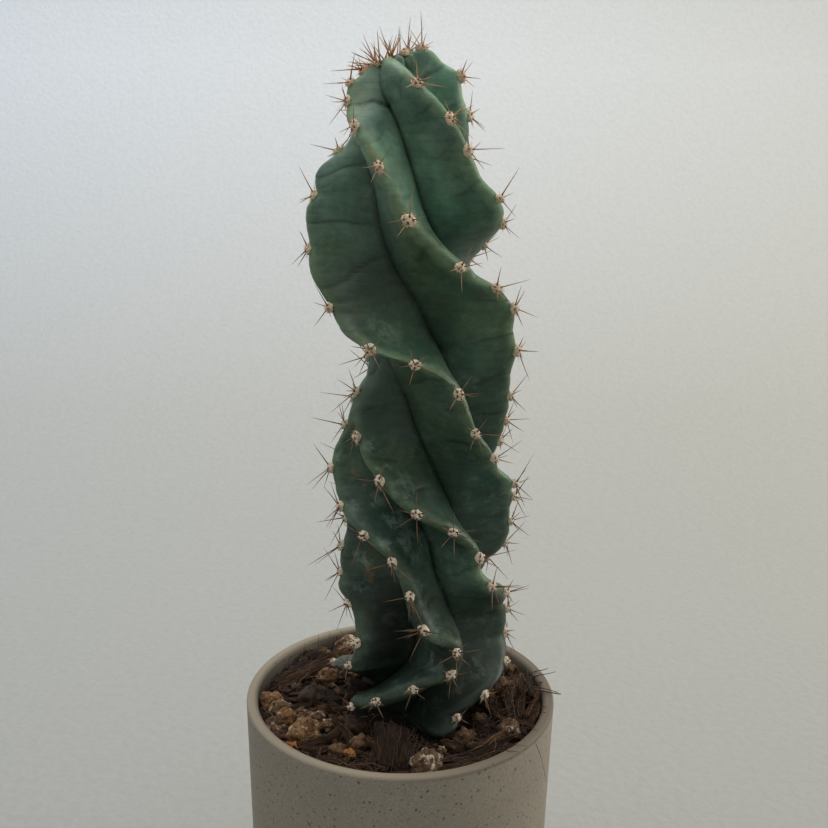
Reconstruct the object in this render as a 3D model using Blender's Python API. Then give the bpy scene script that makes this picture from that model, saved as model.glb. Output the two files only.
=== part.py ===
# A spiral cactus in a round stoneware pot: the pot, the potting mix that fills it, and the plant.
# The origin is the centre of the pot's underside, +Z is up and -Y is the front.
# Sizes are in millimetres, and MM turns them into metres where a mesh is made.
import math
import random

import bmesh
import bpy
from mathutils import Matrix, Vector

MM = 0.001
GAP = 0.3

# The pot
POT_HEIGHT = 130.0
RIM_RADIUS = 70.0
BASE_RADIUS = 67.3
WALL = 5.0
FLOOR = 6.0
LIP_ROUND = 2.2
FOOT_CHAMFER = 1.5
POT_SIDES = 48

# The potting mix
SOIL_TOP = 123.6
SOIL_ROUGHNESS = 0.9
PLUG_RADIUS = 14.0
PLUG_BOTTOM = 100.0
STEM_FOOT = (9.5, -3.0)
RIB_REACH_AT_SOIL = 40.0

# The plant. Azimuths are in degrees from the front (-Y) towards +X, and a reach is from the stem's
# axis to a rib's crest. Each rib is followed down from the growing tip, one areole a row, and then
# come the places where its crest swells or dips between two areoles.
TIP_HEIGHT = 404.1
RIBS = {
    "first": {
        "areoles": [
            (404.0, -65, 4.5), (402.6, -65, 10), (400.5, -66, 17), (394, -58, 19.5), (383, -32, 27),
            (365, -13, 33), (344, 2, 38), (327, 26, 41.5), (318, 50, 42.3), (309, 66, 42.5), (290, 80, 41),
            (269, 90, 37.3), (257, 98, 36), (246, 108, 35.3), (234, 122, 34.5), (222, 137, 36), (210, 152, 36),
            (200, 166, 36), (190, 180, 36), (180, 196, 36), (170, 212, 36.5), (161, 222, 37),
            (152, 220, 37), (144, 206, 37), (136, 184, 37),
        ],
        "crest": [(322.5, 38, 36.5), (313.5, 59, 41), (299.5, 74, 39.8), (279, 85.5, 37.5)],
        "foot": [(129, 164, 35), (125, 160, 26)],
    },
    "second": {
        "areoles": [
            (404.0, 10, 4.5), (402.8, 12, 9.5), (399, 18, 16), (390, 28, 24), (375, 43, 32),
            (364, 49, 35.3), (348, 65, 41), (340, 82, 39), (332, 108, 32.7), (325, 130, 32), (315, 144, 34),
            (301, 156, 36), (287, 168, 37.5), (272, 184, 37), (258, 200, 36.5), (245, 216, 36),
            (233, 232, 36), (222, 247, 35), (211, 260, 35.3), (200, 270, 37), (189, 274, 37.5),
            (178, 288, 35.5), (164, 307, 36), (152, 300, 37), (144, 268, 40), (136, 246, 38),
        ],
        "crest": [(355, 57, 35.8), (206, 265, 34.3), (184, 280, 38.6), (173, 296, 33.8)],
        "foot": [(129, 226, 35), (125, 220, 26)],
    },
    "third": {
        "areoles": [
            (404.0, 85, 4.5), (403.4, 85, 9.5), (402, 85, 17.5), (388, 88, 29.5), (375, 103, 31.5),
            (362, 117, 31), (349, 132, 34), (335, 147, 37), (320, 162, 39), (305, 184, 39),
            (290, 205, 36), (276, 224, 31), (264, 243, 33.5), (254, 262, 34), (236, 270, 40),
            (223, 290, 38), (215, 317, 37), (206, 338, 36), (192, 349, 36), (178, 357, 37),
            (168, 380, 39), (157, 380, 36), (150, 351, 34.5), (142, 327, 36), (135, 304, 38),
        ],
        "crest": [(399.5, 86, 19.8), (395.5, 86.5, 22.3), (382, 94, 28.8), (259, 252, 32.8), (229, 280, 38)],
        "foot": [(130, 299, 29), (126, 295, 17)],
    },
    "fourth": {
        "areoles": [
            (404.0, 155, 4.5), (402.6, 156, 10), (399, 158, 18), (389, 163, 25), (375, 172, 31),
            (359, 183, 34), (343, 196, 37), (327, 209, 38), (311, 222, 34), (297, 234, 28),
            (284, 250, 23), (271, 280, 27.5), (255, 304, 33), (240, 330, 36), (228, 354, 37),
            (220, 378, 37), (207, 397, 37), (192, 408, 36.5), (184, 432, 36.5), (169, 458, 37.5),
            (156, 462, 38), (147, 448, 37.5), (140, 413, 33), (133, 389, 30), (127, 375, 34),
        ],
        "crest": [(278, 264, 22.5), (199.5, 400, 33.8), (173.5, 451, 34.8)],
        "foot": [(124.6, 374, 31)],
    },
    "fifth": {
        "areoles": [
            (404.0, 225, 4.5), (402.6, 230, 9), (398, 236, 12.5), (390, 243, 14.5), (376, 255, 24),
            (358, 268, 35.5), (330, 270, 41), (308.5, 298, 39.5), (295, 330, 41), (290, 360, 41),
            (278, 381, 40), (261, 391, 39), (248, 411, 37), (233, 435, 40), (224, 450, 39.3),
            (211, 456, 38), (200, 460, 36.5), (190, 475, 31), (180, 492, 32.5), (170, 508, 36),
            (161, 519, 37), (152, 517, 37), (144, 502, 37), (136, 480, 36),
        ],
        "crest": [
            (384, 248, 17), (373, 257.5, 31.8), (367, 262, 35), (353, 268, 39.6), (326, 272, 42),
            (254.5, 401, 37), (242, 420, 34.8), (228.5, 443, 37.3), (217.5, 453, 37.2),
        ],
        "foot": [(129, 462, 34), (125, 456, 26)],
    },
}
# Across and depth of the stem's axis, the lean of its sections and its core, each by height
AXIS_X = [
    (90, 9.5), (124, 9.5), (180, 10.5), (230, 9), (260, 8), (290, 6), (309, 4.7), (320, 3),
    (340, 0), (354, -1.5), (370, -4), (385, -6.5), (405, -9.5),
]
AXIS_Y = [(90, -3), (124, -3), (170, -1), (230, 0), (405, 0)]
LEAN = [(90, 0), (330, 0), (350, 7), (370, 15), (385, 20), (405, 24)]
CORE = [
    (90, 14), (124, 14), (126, 13), (140, 12), (380, 12), (392, 9), (400, 5.5), (403, 3), (404.5, 1.5),
]
CREST_HALF_THICKNESS = 5.0
CREST_DEPTH = 8.0
FLANK_FULLNESS = 0.8
FLANK_CROWDING = 1.35
MOST_SLANT = 2.2
# The furrow's radius is the core's, and grows with the gap in radians between its two ribs
FURROW_BASE, FURROW_PER_GAP = 0.82, 0.25
SHALLOWEST_FURROW = 0.92
FURROW_FADE = 6.0
NOTCH = 0.8
NOTCH_FROM, NOTCH_OVER = 12.0, 15.0
AZIMUTH_WINDOW, REACH_WINDOW = 3.0, 1.5
FOOT_CLEARANCE = 0.8
FOOT_ROUND = 2.6
FOOT_RINGS = (0.6, 1.1, 2.0, 3.4)
EVEN_RINGS = (131.0, 398.0)
RING_STEP = 5.0
TIP_RINGS = (400.5, 402.4, 403.5)
FLANK_POINTS = 3

# Cushions and spines
AREOLE_RADIUS = 2.6
AREOLE_HEIGHT = 1.7
SMALLEST_CUSHION_REACH = 12.0
SPINE_RADIUS = 0.5
SPINE_ROOT = 0.6
SPINE_OFFSET = 0.8
SPINE_LENGTH = (9.0, 14.0)
SPINES_PER_AREOLE = (3, 2)
SPINE_SPREAD, SPREAD_VARIES = 48.0, 14.0
FAN_TURN = 2.3
SPINE_CLEARANCE = 7.0
TUFT_SPINES = 14
TUFT_SPREAD = (12.0, 64.0)
TUFT_LEAN = (-0.12, 0.0, 1.0)
GOLDEN_ANGLE = 2.4
SHOULDER_SPINE = 14.5

rng = random.Random(7)


def clear_scene():
    for old in list(bpy.data.objects):
        bpy.data.objects.remove(old, do_unlink=True)


def make_material(name, colour, roughness):
    material = bpy.data.materials.new(name)
    material.use_nodes = True
    shader = material.node_tree.nodes["Principled BSDF"]
    shader.inputs["Base Color"].default_value = (*colour, 1.0)
    shader.inputs["Roughness"].default_value = roughness
    shader.inputs["Metallic"].default_value = 0.0
    return material


def make_object(name, points, faces, collection=None):
    """One object from points in millimetres, with its faces turned outwards."""
    mesh = bpy.data.meshes.new(name)
    mesh.from_pydata([Vector(p) * MM for p in points], [], faces)
    form = bmesh.new()
    form.from_mesh(mesh)
    bmesh.ops.recalc_face_normals(form, faces=form.faces)
    form.to_mesh(mesh)
    form.free()
    made = bpy.data.objects.new(name, mesh)
    (collection or bpy.context.scene.collection).objects.link(made)
    return made


def finish(made, material, sharp_degrees):
    made.data.materials.clear()
    made.data.materials.append(material)
    made.data.shade_smooth()
    made.data.set_sharp_from_angle(angle=math.radians(sharp_degrees))


def join_rings(rings):
    """Points and faces of a closed skin through rings with equal numbers of points."""
    count = len(rings[0])
    points = [point for ring in rings for point in ring]
    faces = []
    for level in range(len(rings) - 1):
        for i in range(count):
            j = (i + 1) % count
            low, high = level * count, (level + 1) * count
            faces.append((low + i, low + j, high + j, high + i))
    for level in (0, len(rings) - 1):
        points.append(sum((Vector(point) for point in rings[level]), Vector()) / count)
        ring = [level * count + i for i in range(count)]
        faces += [(ring[i - 1], ring[i], len(points) - 1) for i in range(count)]
    return points, faces


def fuse(base, pieces, solver):
    """Joins all of a collection's pieces to the base and removes them."""
    join = base.modifiers.new("fuse", "BOOLEAN")
    join.operation = "UNION"
    join.operand_type = "COLLECTION"
    join.solver = solver
    join.collection = pieces
    graph = bpy.context.evaluated_depsgraph_get()
    fused = bpy.data.meshes.new_from_object(base.evaluated_get(graph))
    base.modifiers.clear()
    base.data = fused
    for piece in list(pieces.objects):
        bpy.data.objects.remove(piece, do_unlink=True)
    bpy.data.collections.remove(pieces)


def piece_collection(name):
    pieces = bpy.data.collections.new(name)
    bpy.context.scene.collection.children.link(pieces)
    return pieces


def smooth_curve(rows):
    """A function of height through the rows' values that never overshoots them."""
    rows = sorted(rows)
    xs = [row[0] for row in rows]
    ys = [row[1] for row in rows]
    steps = [b - a for a, b in zip(xs, xs[1:])]
    rises = [(b - a) / step for a, b, step in zip(ys, ys[1:], steps)]
    slopes = [rises[0]]
    for i in range(1, len(xs) - 1):
        before, after = rises[i - 1], rises[i]
        if before * after <= 0:
            slopes.append(0.0)
            continue
        near, far = 2 * steps[i] + steps[i - 1], steps[i] + 2 * steps[i - 1]
        slopes.append((near + far) / (near / before + far / after))
    slopes.append(rises[-1])

    def value(x):
        x = min(max(x, xs[0]), xs[-1])
        i = max(k for k in range(len(steps)) if xs[k] <= x)
        t = (x - xs[i]) / steps[i]
        return (
            (2 * t**3 - 3 * t**2 + 1) * ys[i]
            + (t**3 - 2 * t**2 + t) * steps[i] * slopes[i]
            + (3 * t**2 - 2 * t**3) * ys[i + 1]
            + (t**3 - t**2) * steps[i] * slopes[i + 1]
        )

    return value


def eased(curve, x, width):
    """The curve's mean over a short window, which rounds its bends."""
    return sum(curve(x + width * share) for share in (-1.0, -0.5, 0.0, 0.5, 1.0)) / 5


def rib_curves():
    curves = []
    for rib in RIBS.values():
        counted = sorted(rib["areoles"] + rib["foot"])
        shaped = sorted(counted + rib["crest"])
        curves.append({
            "azimuth": smooth_curve([(z, math.radians(azimuth)) for z, azimuth, _ in shaped]),
            "reach": smooth_curve([(z, reach) for z, _, reach in shaped]),
            "count": smooth_curve([(row[0], i) for i, row in enumerate(counted)]),
        })
    return curves


axis_x = smooth_curve(AXIS_X)
axis_y = smooth_curve(AXIS_Y)
lean = smooth_curve(LEAN)
core = smooth_curve(CORE)


def section_point(z, azimuth, radius):
    """A point of the section at this height, which leans to the left near the top."""
    across, back = radius * math.sin(azimuth), -radius * math.cos(azimuth)
    tilt = math.radians(lean(z))
    return (axis_x(z) + across * math.cos(tilt), axis_y(z) + back, z + across * math.sin(tilt))


def rib_at(curve, z):
    """Azimuth, turn per millimetre and reach of a rib's crest at one height."""
    azimuth, above, below = [eased(curve["azimuth"], z + step, AZIMUTH_WINDOW) for step in (0, 1, -1)]
    turn = (above - below) / 2
    reach = eased(curve["reach"], z, REACH_WINDOW)
    calm = min(max((reach - NOTCH_FROM) / NOTCH_OVER, 0), 1)
    reach += NOTCH * calm * (1 - math.cos(2 * math.pi * curve["count"](z))) / 2
    rise = min(max((z - SOIL_TOP - FOOT_CLEARANCE) / FOOT_ROUND, 0), 1)
    reach = core(z) + (reach - core(z)) * math.sqrt(1 - (1 - rise) ** 2)
    return azimuth, turn, max(reach, core(z))


def flank(reach, turn, floor, half, ease):
    """Radius and half angle along a rib's side, from just under its crest to the furrow."""
    side = []
    slant = min(math.sqrt(1 + (reach * turn) ** 2), MOST_SLANT)
    for i in range(1, FLANK_POINTS):
        share = (i / FLANK_POINTS) ** FLANK_CROWDING
        radius = reach - (reach - floor) * share
        bend = min(share * (reach - floor) / CREST_DEPTH, 1)
        crest = CREST_HALF_THICKNESS * slant * math.sqrt(1 - (1 - bend) ** 2) * (1 - share)
        angle = (crest + floor * half * share**FLANK_FULLNESS) / radius
        angle = min(angle, half * (0.97 + 0.03 * share))
        side.append((radius, angle * ease + half * i / FLANK_POINTS * (1 - ease)))
    return side


def section(curves, z):
    """One closed outline round the ribs, always starting at the first rib's crest."""
    ribs = [rib_at(curve, z) for curve in curves]
    outline = []
    for here, after in zip(ribs, ribs[1:] + ribs[:1]):
        gap = (after[0] - here[0]) % (2 * math.pi)
        lower = min(here[2], after[2])
        floor = min(core(z) * (FURROW_BASE + FURROW_PER_GAP * gap), SHALLOWEST_FURROW * lower)
        ease = min(max((lower - core(z)) / FURROW_FADE, 0), 1)
        floor = floor * ease + lower * (1 - ease)
        outline.append((here[2], here[0]))
        near = flank(here[2], here[1], floor, gap / 2, ease)
        far = flank(after[2], after[1], floor, gap / 2, ease)
        outline += [(radius, here[0] + angle) for radius, angle in near]
        outline.append((floor, here[0] + gap / 2))
        outline += [(radius, after[0] - angle) for radius, angle in reversed(far)]
    return [section_point(z, azimuth, radius) for radius, azimuth in outline]


def stem_heights():
    low, high = EVEN_RINGS
    count = round((high - low) / RING_STEP)
    heights = [PLUG_BOTTOM] + [SOIL_TOP + rise for rise in FOOT_RINGS]
    heights += [low + i * (high - low) / count for i in range(count + 1)]
    return heights + [*TIP_RINGS, TIP_HEIGHT]


def outward(z, azimuth):
    tilt = math.radians(lean(z))
    across = math.sin(azimuth)
    return Vector((across * math.cos(tilt), -math.cos(azimuth), across * math.sin(tilt)))


def cushion(place, direction, pieces):
    """A low woolly button whose lower half is sunk in the crest."""
    form = bmesh.new()
    turn = direction.to_track_quat("Z", "Y").to_matrix().to_4x4()
    bmesh.ops.create_cone(
        form, cap_ends=True, segments=5, radius1=AREOLE_RADIUS * 1.1 * MM, radius2=AREOLE_RADIUS * 0.6 * MM,
        depth=2 * AREOLE_HEIGHT * MM, matrix=Matrix.Translation(place * MM) @ turn,
    )
    mesh = bpy.data.meshes.new("cushion")
    form.to_mesh(mesh)
    form.free()
    pieces.objects.link(bpy.data.objects.new("cushion", mesh))


def spine(root, direction, length, pieces):
    """A three-sided spine, its foot sunk well below the root."""
    turn = direction.to_track_quat("Z", "Y").to_matrix()
    foot = root - direction * SPINE_ROOT
    corners = []
    for i in range(3):
        angle = 2 * math.pi * i / 3
        corners.append(foot + turn @ Vector((math.cos(angle), math.sin(angle), 0)) * SPINE_RADIUS)
    corners.append(root + direction * length)
    make_object("spine", corners, [(0, 2, 1), (0, 1, 3), (1, 2, 3), (2, 0, 3)], pieces)


def areole(z, azimuth, reach, number, pieces):
    """A cushion on the crest with spines fanned round it."""
    azimuth = math.radians(azimuth)
    place = Vector(section_point(z, azimuth, reach))
    out = outward(z, azimuth)
    if reach > SMALLEST_CUSHION_REACH:
        cushion(place, out, pieces)
    side = out.orthogonal().normalized()
    count = SPINES_PER_AREOLE[number % 2]
    for i in range(count):
        around = 2 * math.pi * i / count + number * FAN_TURN + rng.uniform(-0.3, 0.3)
        across = Matrix.Rotation(around, 3, out) @ side
        spread = math.radians(SPINE_SPREAD + rng.uniform(-SPREAD_VARIES, SPREAD_VARIES))
        direction = (out * math.cos(spread) + across * math.sin(spread)).normalized()
        length = rng.uniform(*SPINE_LENGTH)
        if place.z + direction.z * length < SOIL_TOP + SPINE_CLEARANCE:
            direction.z = abs(direction.z)
        spine(place + across * SPINE_OFFSET, direction, length, pieces)


def tuft(pieces):
    """The growing tip's spines, fanned upwards and a little to the left."""
    top = Vector(section_point(TIP_HEIGHT - 0.5, 0, 0))
    low, high = TUFT_SPREAD
    for i in range(TUFT_SPINES):
        around = GOLDEN_ANGLE * i
        spread = math.radians(low + (high - low) * (i + 0.5) / TUFT_SPINES)
        flat = Vector((math.cos(around), math.sin(around), 0))
        direction = (Vector(TUFT_LEAN) * math.cos(spread) + flat * math.sin(spread)).normalized()
        root = top + flat * 3.0 * spread - Vector((0, 0, SPINE_OFFSET))
        spine(root, direction, rng.uniform(*SPINE_LENGTH), pieces)


def make_stem():
    curves = rib_curves()
    points, faces = join_rings([section(curves, z) for z in stem_heights()])
    stem = make_object("stem", points, faces)
    pieces = piece_collection("areoles and spines")
    number = 0
    for rib in RIBS.values():
        for z, azimuth, reach in rib["areoles"][2:]:
            areole(z, azimuth, reach, number, pieces)
            number += 1
    tuft(pieces)
    z, azimuth, reach = RIBS["third"]["areoles"][2]
    shoulder = Vector(section_point(z, math.radians(azimuth), reach))
    spine(shoulder, Vector((0, 0, 1)), SHOULDER_SPINE, pieces)
    fuse(stem, pieces, "MANIFOLD")
    finish(stem, make_material("cactus skin", (0.045, 0.11, 0.065), 0.55), 40)


def turned(name, profile, sides):
    """A body turned round Z from (radius, height) points that run from the axis back to the axis."""
    rings = []
    for radius, z in profile[1:-1]:
        ring = []
        for i in range(sides):
            angle = 2 * math.pi * i / sides
            ring.append((radius * math.cos(angle), radius * math.sin(angle), z))
        rings.append(ring)
    return make_object(name, *join_rings(rings))


def wall_radius(z):
    """Inner radius of the pot's wall."""
    return BASE_RADIUS + (RIM_RADIUS - BASE_RADIUS) * z / POT_HEIGHT - WALL


def make_pot():
    profile = [(0, 0), (BASE_RADIUS - FOOT_CHAMFER, 0), (BASE_RADIUS, FOOT_CHAMFER)]
    shoulder = POT_HEIGHT - LIP_ROUND
    outer, inner = wall_radius(shoulder) + WALL, wall_radius(shoulder)
    for i in range(4):
        angle = math.radians(30 * i)
        turn_in = LIP_ROUND * (1 - math.cos(angle))
        profile.append((outer - turn_in, shoulder + LIP_ROUND * math.sin(angle)))
    for i in range(4):
        angle = math.radians(90 - 30 * i)
        turn_in = LIP_ROUND * (1 - math.cos(angle))
        profile.append((inner + turn_in, shoulder + LIP_ROUND * math.sin(angle)))
    profile += [(wall_radius(FLOOR + 3), FLOOR + 3), (wall_radius(FLOOR) - 3, FLOOR), (0, FLOOR)]
    pot = turned("pot", profile, POT_SIDES)
    finish(pot, make_material("speckled stoneware", (0.36, 0.33, 0.29), 0.7), 35)


# The lumps that show in front (across, back, size), as pumice of the mix
LUMPS = [
    (-58, -1, 8), (-51, -10, 9), (-46, -17, 8), (-39, -28, 12), (-45, -37, 8), (-53, -23, 9),
    (-33, 24, 7), (-28, 52, 8), (-22, 50, 7), (-27, -18, 6), (-21, -43, 7), (-27, -41, 6),
    (9, -50, 11), (24, -45, 7), (33, -36, 6), (38, -20, 7), (46, -25, 8), (49, 10, 10),
    (43, -2, 7), (51, 31, 8), (-12, -48, 5), (40, -40, 6),
]
# Bark chips (across, back, length, width, yaw and pitch in degrees)
CHIPS = [
    (-3, -47, 25, 17, 88, 24), (-17, -36, 18, 7, -38, 8), (-50, 14, 30, 8, 52, 8),
    (-36, 38, 24, 8, 35, 6), (-33, -50, 20, 6, -22, 10), (-8, -59, 18, 6, -8, 8),
    (20, -55, 20, 6, 14, 8), (46, -38, 22, 8, 40, 12), (55, 14, 20, 9, 70, 14),
    (53, -12, 22, 7, 96, 12), (6, 52, 26, 8, 5, 8), (32, 50, 24, 7, -35, 8), (-6, 60, 16, 6, 8, 10),
]
# Coir fibres that stand out of the mix at the right, as points from root to tip
FIBRES = [
    [(56, 20, 122), (59.5, 20, 127.5), (62.5, 21, 132.5), (66, 23, 137)],
    [(58, 6, 122), (62, 6, 128), (66, 5, 132), (71, 4, 134)],
    [(55, -8, 122), (60, -7, 129), (64, -6, 132.5), (68, -6, 133.5)],
    [(50, 26, 122), (54, 28, 129), (57, 30, 133)],
]


def soil_height(radius, angle):
    near_stem = math.hypot(radius * math.cos(angle) - STEM_FOOT[0], radius * math.sin(angle) - STEM_FOOT[1])
    rough = SOIL_ROUGHNESS * min(max((near_stem - RIB_REACH_AT_SOIL) / 6, 0), 1)
    bumps = math.sin(5 * angle + radius * 0.21) + math.sin(9 * angle - radius * 0.33)
    return SOIL_TOP + rough * (0.5 * bumps + rng.uniform(-0.5, 0.5))


def hole_ring(z):
    """The plain round hole's wall. It lies off the pot's axis, where the stem stands."""
    ring = []
    for i in range(POT_SIDES):
        angle = 2 * math.pi * i / POT_SIDES
        radius = PLUG_RADIUS + GAP
        ring.append((
            STEM_FOOT[0] + radius * math.cos(angle), STEM_FOOT[1] + radius * math.sin(angle), z,
        ))
    return ring


def soil_rings():
    """Rings from the middle of the underside, up the wall, in over the top and down the hole."""
    rings = []
    for z in (FLOOR + GAP, FLOOR + 3 + GAP, SOIL_TOP - 1.5):
        radius = wall_radius(z) - GAP - (3 if z < FLOOR + 2 else 0)
        rings.append([
            (radius * math.cos(2 * math.pi * i / POT_SIDES), radius * math.sin(2 * math.pi * i / POT_SIDES), z)
            for i in range(POT_SIDES)
        ])
    edge, hole = rings[-1], hole_ring(SOIL_TOP)
    for share in (0.0, 0.12, 0.26, 0.42, 0.6, 0.8):
        ring = []
        for outer, inner in zip(edge, hole):
            x = outer[0] * 0.995 + (inner[0] - outer[0] * 0.995) * share
            y = outer[1] * 0.995 + (inner[1] - outer[1] * 0.995) * share
            ring.append((x, y, soil_height(math.hypot(x, y), math.atan2(y, x))))
        rings.append(ring)
    return rings + [hole, hole_ring(PLUG_BOTTOM - GAP)]


def kept_inside(place, margin):
    """The place, moved in where it comes nearer to the pot's wall than this margin."""
    limit = wall_radius(SOIL_TOP) - margin
    scale = min(1.0, limit / math.hypot(place[0], place[1]))
    return Vector((place[0] * scale, place[1] * scale, place[2]))


def lump(x, y, size, pieces):
    """A knobbly lump, a little over half of it in the mix."""
    middle = kept_inside((x, y, SOIL_TOP + size * 0.1), size * 0.62 + GAP)
    form = bmesh.new()
    bmesh.ops.create_icosphere(form, subdivisions=1, radius=size / 2)
    squash = (rng.uniform(0.9, 1.15), rng.uniform(0.85, 1.1), rng.uniform(0.7, 0.85))
    turn = Matrix.Rotation(rng.uniform(0, 2 * math.pi), 3, "Z")
    for vertex in form.verts:
        swell = rng.uniform(0.88, 1.1)
        shaped = turn @ Vector([c * s * swell for c, s in zip(vertex.co, squash)])
        vertex.co = (shaped + middle) * MM
    mesh = bpy.data.meshes.new("lump")
    form.to_mesh(mesh)
    form.free()
    pieces.objects.link(bpy.data.objects.new("lump", mesh))


def chip(x, y, length, width, yaw, pitch, pieces):
    """A torn slab of bark, its lower end sunk in the mix."""
    thick = 0.35 * width
    turn = Matrix.Rotation(math.radians(yaw), 3, "Z") @ Matrix.Rotation(math.radians(pitch), 3, "Y")
    corners = []
    for along in (-0.5, 0.5):
        for across, up in ((-0.5, -0.5), (0.5, -0.5), (0.5, 0.5), (-0.5, 0.5)):
            shape = Vector((along * length, across * width, up * thick))
            shape += Vector([rng.uniform(-0.08, 0.08) * width for _ in range(3)])
            corners.append(kept_inside(Vector((x, y, SOIL_TOP + 0.5)) + turn @ shape, 2 * GAP))
    faces = [(0, 1, 2, 3), (7, 6, 5, 4), (0, 4, 5, 1), (1, 5, 6, 2), (2, 6, 7, 3), (3, 7, 4, 0)]
    made = make_object("chip", corners, faces, pieces)
    form = bmesh.new()
    form.from_mesh(made.data)
    bmesh.ops.triangulate(form, faces=form.faces)
    form.to_mesh(made.data)
    form.free()


def fibre(path, pieces):
    """A stiff brown fibre with a triangular section that thins to its tip."""
    rings = []
    for i, place in enumerate(path):
        radius = 0.8 * (1 - 0.7 * i / (len(path) - 1))
        turns = [math.radians(90 + 120 * k) for k in range(3)]
        rings.append([(place[0] + radius * math.sin(t) * 0.5, place[1] + radius * math.cos(t),
                       place[2] + radius * math.sin(t)) for t in turns])
    make_object("fibre", *join_rings(rings), pieces)


def make_soil():
    soil = make_object("soil", *join_rings(soil_rings()))
    pieces = piece_collection("lumps, chips and fibres")
    for x, y, size in LUMPS:
        lump(x, y, size, pieces)
    for turn in range(22, 160, 13):
        angle = math.radians(turn)
        radius = rng.uniform(50, 60)
        lump(radius * math.cos(angle), radius * math.sin(angle), rng.uniform(5, 9), pieces)
    for row in CHIPS:
        chip(*row, pieces)
    for path in FIBRES:
        fibre(path, pieces)
    fuse(soil, pieces, "MANIFOLD")
    finish(soil, make_material("potting mix", (0.065, 0.04, 0.028), 0.95), 30)


clear_scene()
make_pot()
make_soil()
make_stem()
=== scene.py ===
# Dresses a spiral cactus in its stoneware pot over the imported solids
import math
import random

import bpy
from mathutils import Matrix, Vector, noise
from mathutils.kdtree import KDTree


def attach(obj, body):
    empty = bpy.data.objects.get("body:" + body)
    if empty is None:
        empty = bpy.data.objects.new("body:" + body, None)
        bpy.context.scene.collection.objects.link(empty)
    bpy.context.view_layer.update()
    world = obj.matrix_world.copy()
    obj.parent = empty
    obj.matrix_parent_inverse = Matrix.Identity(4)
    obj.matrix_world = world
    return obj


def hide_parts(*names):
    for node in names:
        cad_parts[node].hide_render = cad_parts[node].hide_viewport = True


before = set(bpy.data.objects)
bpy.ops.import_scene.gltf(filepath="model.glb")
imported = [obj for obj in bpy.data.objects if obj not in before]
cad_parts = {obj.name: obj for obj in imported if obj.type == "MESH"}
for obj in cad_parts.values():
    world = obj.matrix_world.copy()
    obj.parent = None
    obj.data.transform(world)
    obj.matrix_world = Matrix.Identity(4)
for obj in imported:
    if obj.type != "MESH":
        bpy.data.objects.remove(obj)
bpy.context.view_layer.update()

mm = 0.001
anyTurn = (0, 6.28)
chance = random.Random(11)
between = chance.uniform


# Helpers

def srgb(hexColour):
    channels = [int(hexColour[i:i + 2], 16) / 255 for i in (1, 3, 5)]
    linear = [c / 12.92 if c <= 0.04045 else ((c + 0.055) / 1.055) ** 2.4 for c in channels]
    return (*linear, 1.0)


def addNode(tree, kind, settings):
    # a setting that is another node's output becomes a link, a hex value a colour, and "stops" are a ramp's
    node = tree.nodes.new("ShaderNode" + kind)
    for key, value in settings.items():
        if key == "stops":
            elements = node.color_ramp.elements
            while len(elements) < len(value):
                elements.new(0.5)
            for element, (place, colour) in zip(elements, value):
                element.position = place
                element.color = srgb(colour) if isinstance(colour, str) else (colour, colour, colour, 1)
        elif isinstance(key, str) and key not in node.inputs:
            setattr(node, key, value)
        elif isinstance(value, bpy.types.NodeSocket):
            tree.links.new(value, node.inputs[key])
        else:
            node.inputs[key].default_value = srgb(value) if isinstance(value, str) else value
    return node.outputs


def newMaterial(name, constants):
    material = bpy.data.materials.new(name)
    material.use_nodes = True
    for key, value in constants.items():
        material.node_tree.nodes["Principled BSDF"].inputs[key].default_value = value
    return material, material.node_tree


def wire(material, sources):
    # what the nodes give goes to the shader
    tree = material.node_tree
    for key, source in sources.items():
        tree.links.new(source, tree.nodes["Principled BSDF"].inputs[key])
    return material


def deselectAll():
    if bpy.context.mode != "OBJECT":
        bpy.ops.object.mode_set(mode="OBJECT")
    bpy.ops.object.select_all(action="DESELECT")


def pick(piece):
    deselectAll()
    piece.select_set(True)
    bpy.context.view_layer.objects.active = piece


def begin(primitive, **sizes):
    deselectAll()
    primitive(**sizes)
    bpy.ops.object.transform_apply()
    return bpy.context.active_object


def selectBy(piece, kind, chosen):
    # into edit mode, with only the chosen faces or edges selected
    bpy.ops.object.mode_set(mode="EDIT")
    bpy.ops.mesh.select_all(action="DESELECT")
    bpy.ops.mesh.select_mode(type=kind)
    bpy.ops.object.mode_set(mode="OBJECT")
    for part in piece.data.polygons if kind == "FACE" else piece.data.edges:
        part.select = chosen(part)
    bpy.ops.object.mode_set(mode="EDIT")


def faceOutwards():
    # out of edit mode, with every face turned outwards
    bpy.ops.mesh.select_all(action="SELECT")
    bpy.ops.mesh.normals_make_consistent(inside=False)
    bpy.ops.object.mode_set(mode="OBJECT")


def rolledGrid(columns, rows, place):
    # a flat grid whose columns go once round and whose rows follow a profile, closed at the seam and both ends
    grid = begin(bpy.ops.mesh.primitive_grid_add, x_subdivisions=columns, y_subdivisions=rows - 1, size=1)
    for vertex in grid.data.vertices:
        column = round((vertex.co.x + 0.5) * columns) % columns
        row = round((vertex.co.y + 0.5) * (rows - 1))
        vertex.co = place(column, row)
    bpy.ops.object.mode_set(mode="EDIT")
    bpy.ops.mesh.select_mode(type="EDGE")
    bpy.ops.mesh.select_all(action="SELECT")
    bpy.ops.mesh.remove_doubles(threshold=0.002 * mm)
    bpy.ops.mesh.select_all(action="DESELECT")
    bpy.ops.mesh.select_non_manifold()
    bpy.ops.mesh.fill_holes(sides=0)
    faceOutwards()
    return grid


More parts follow.
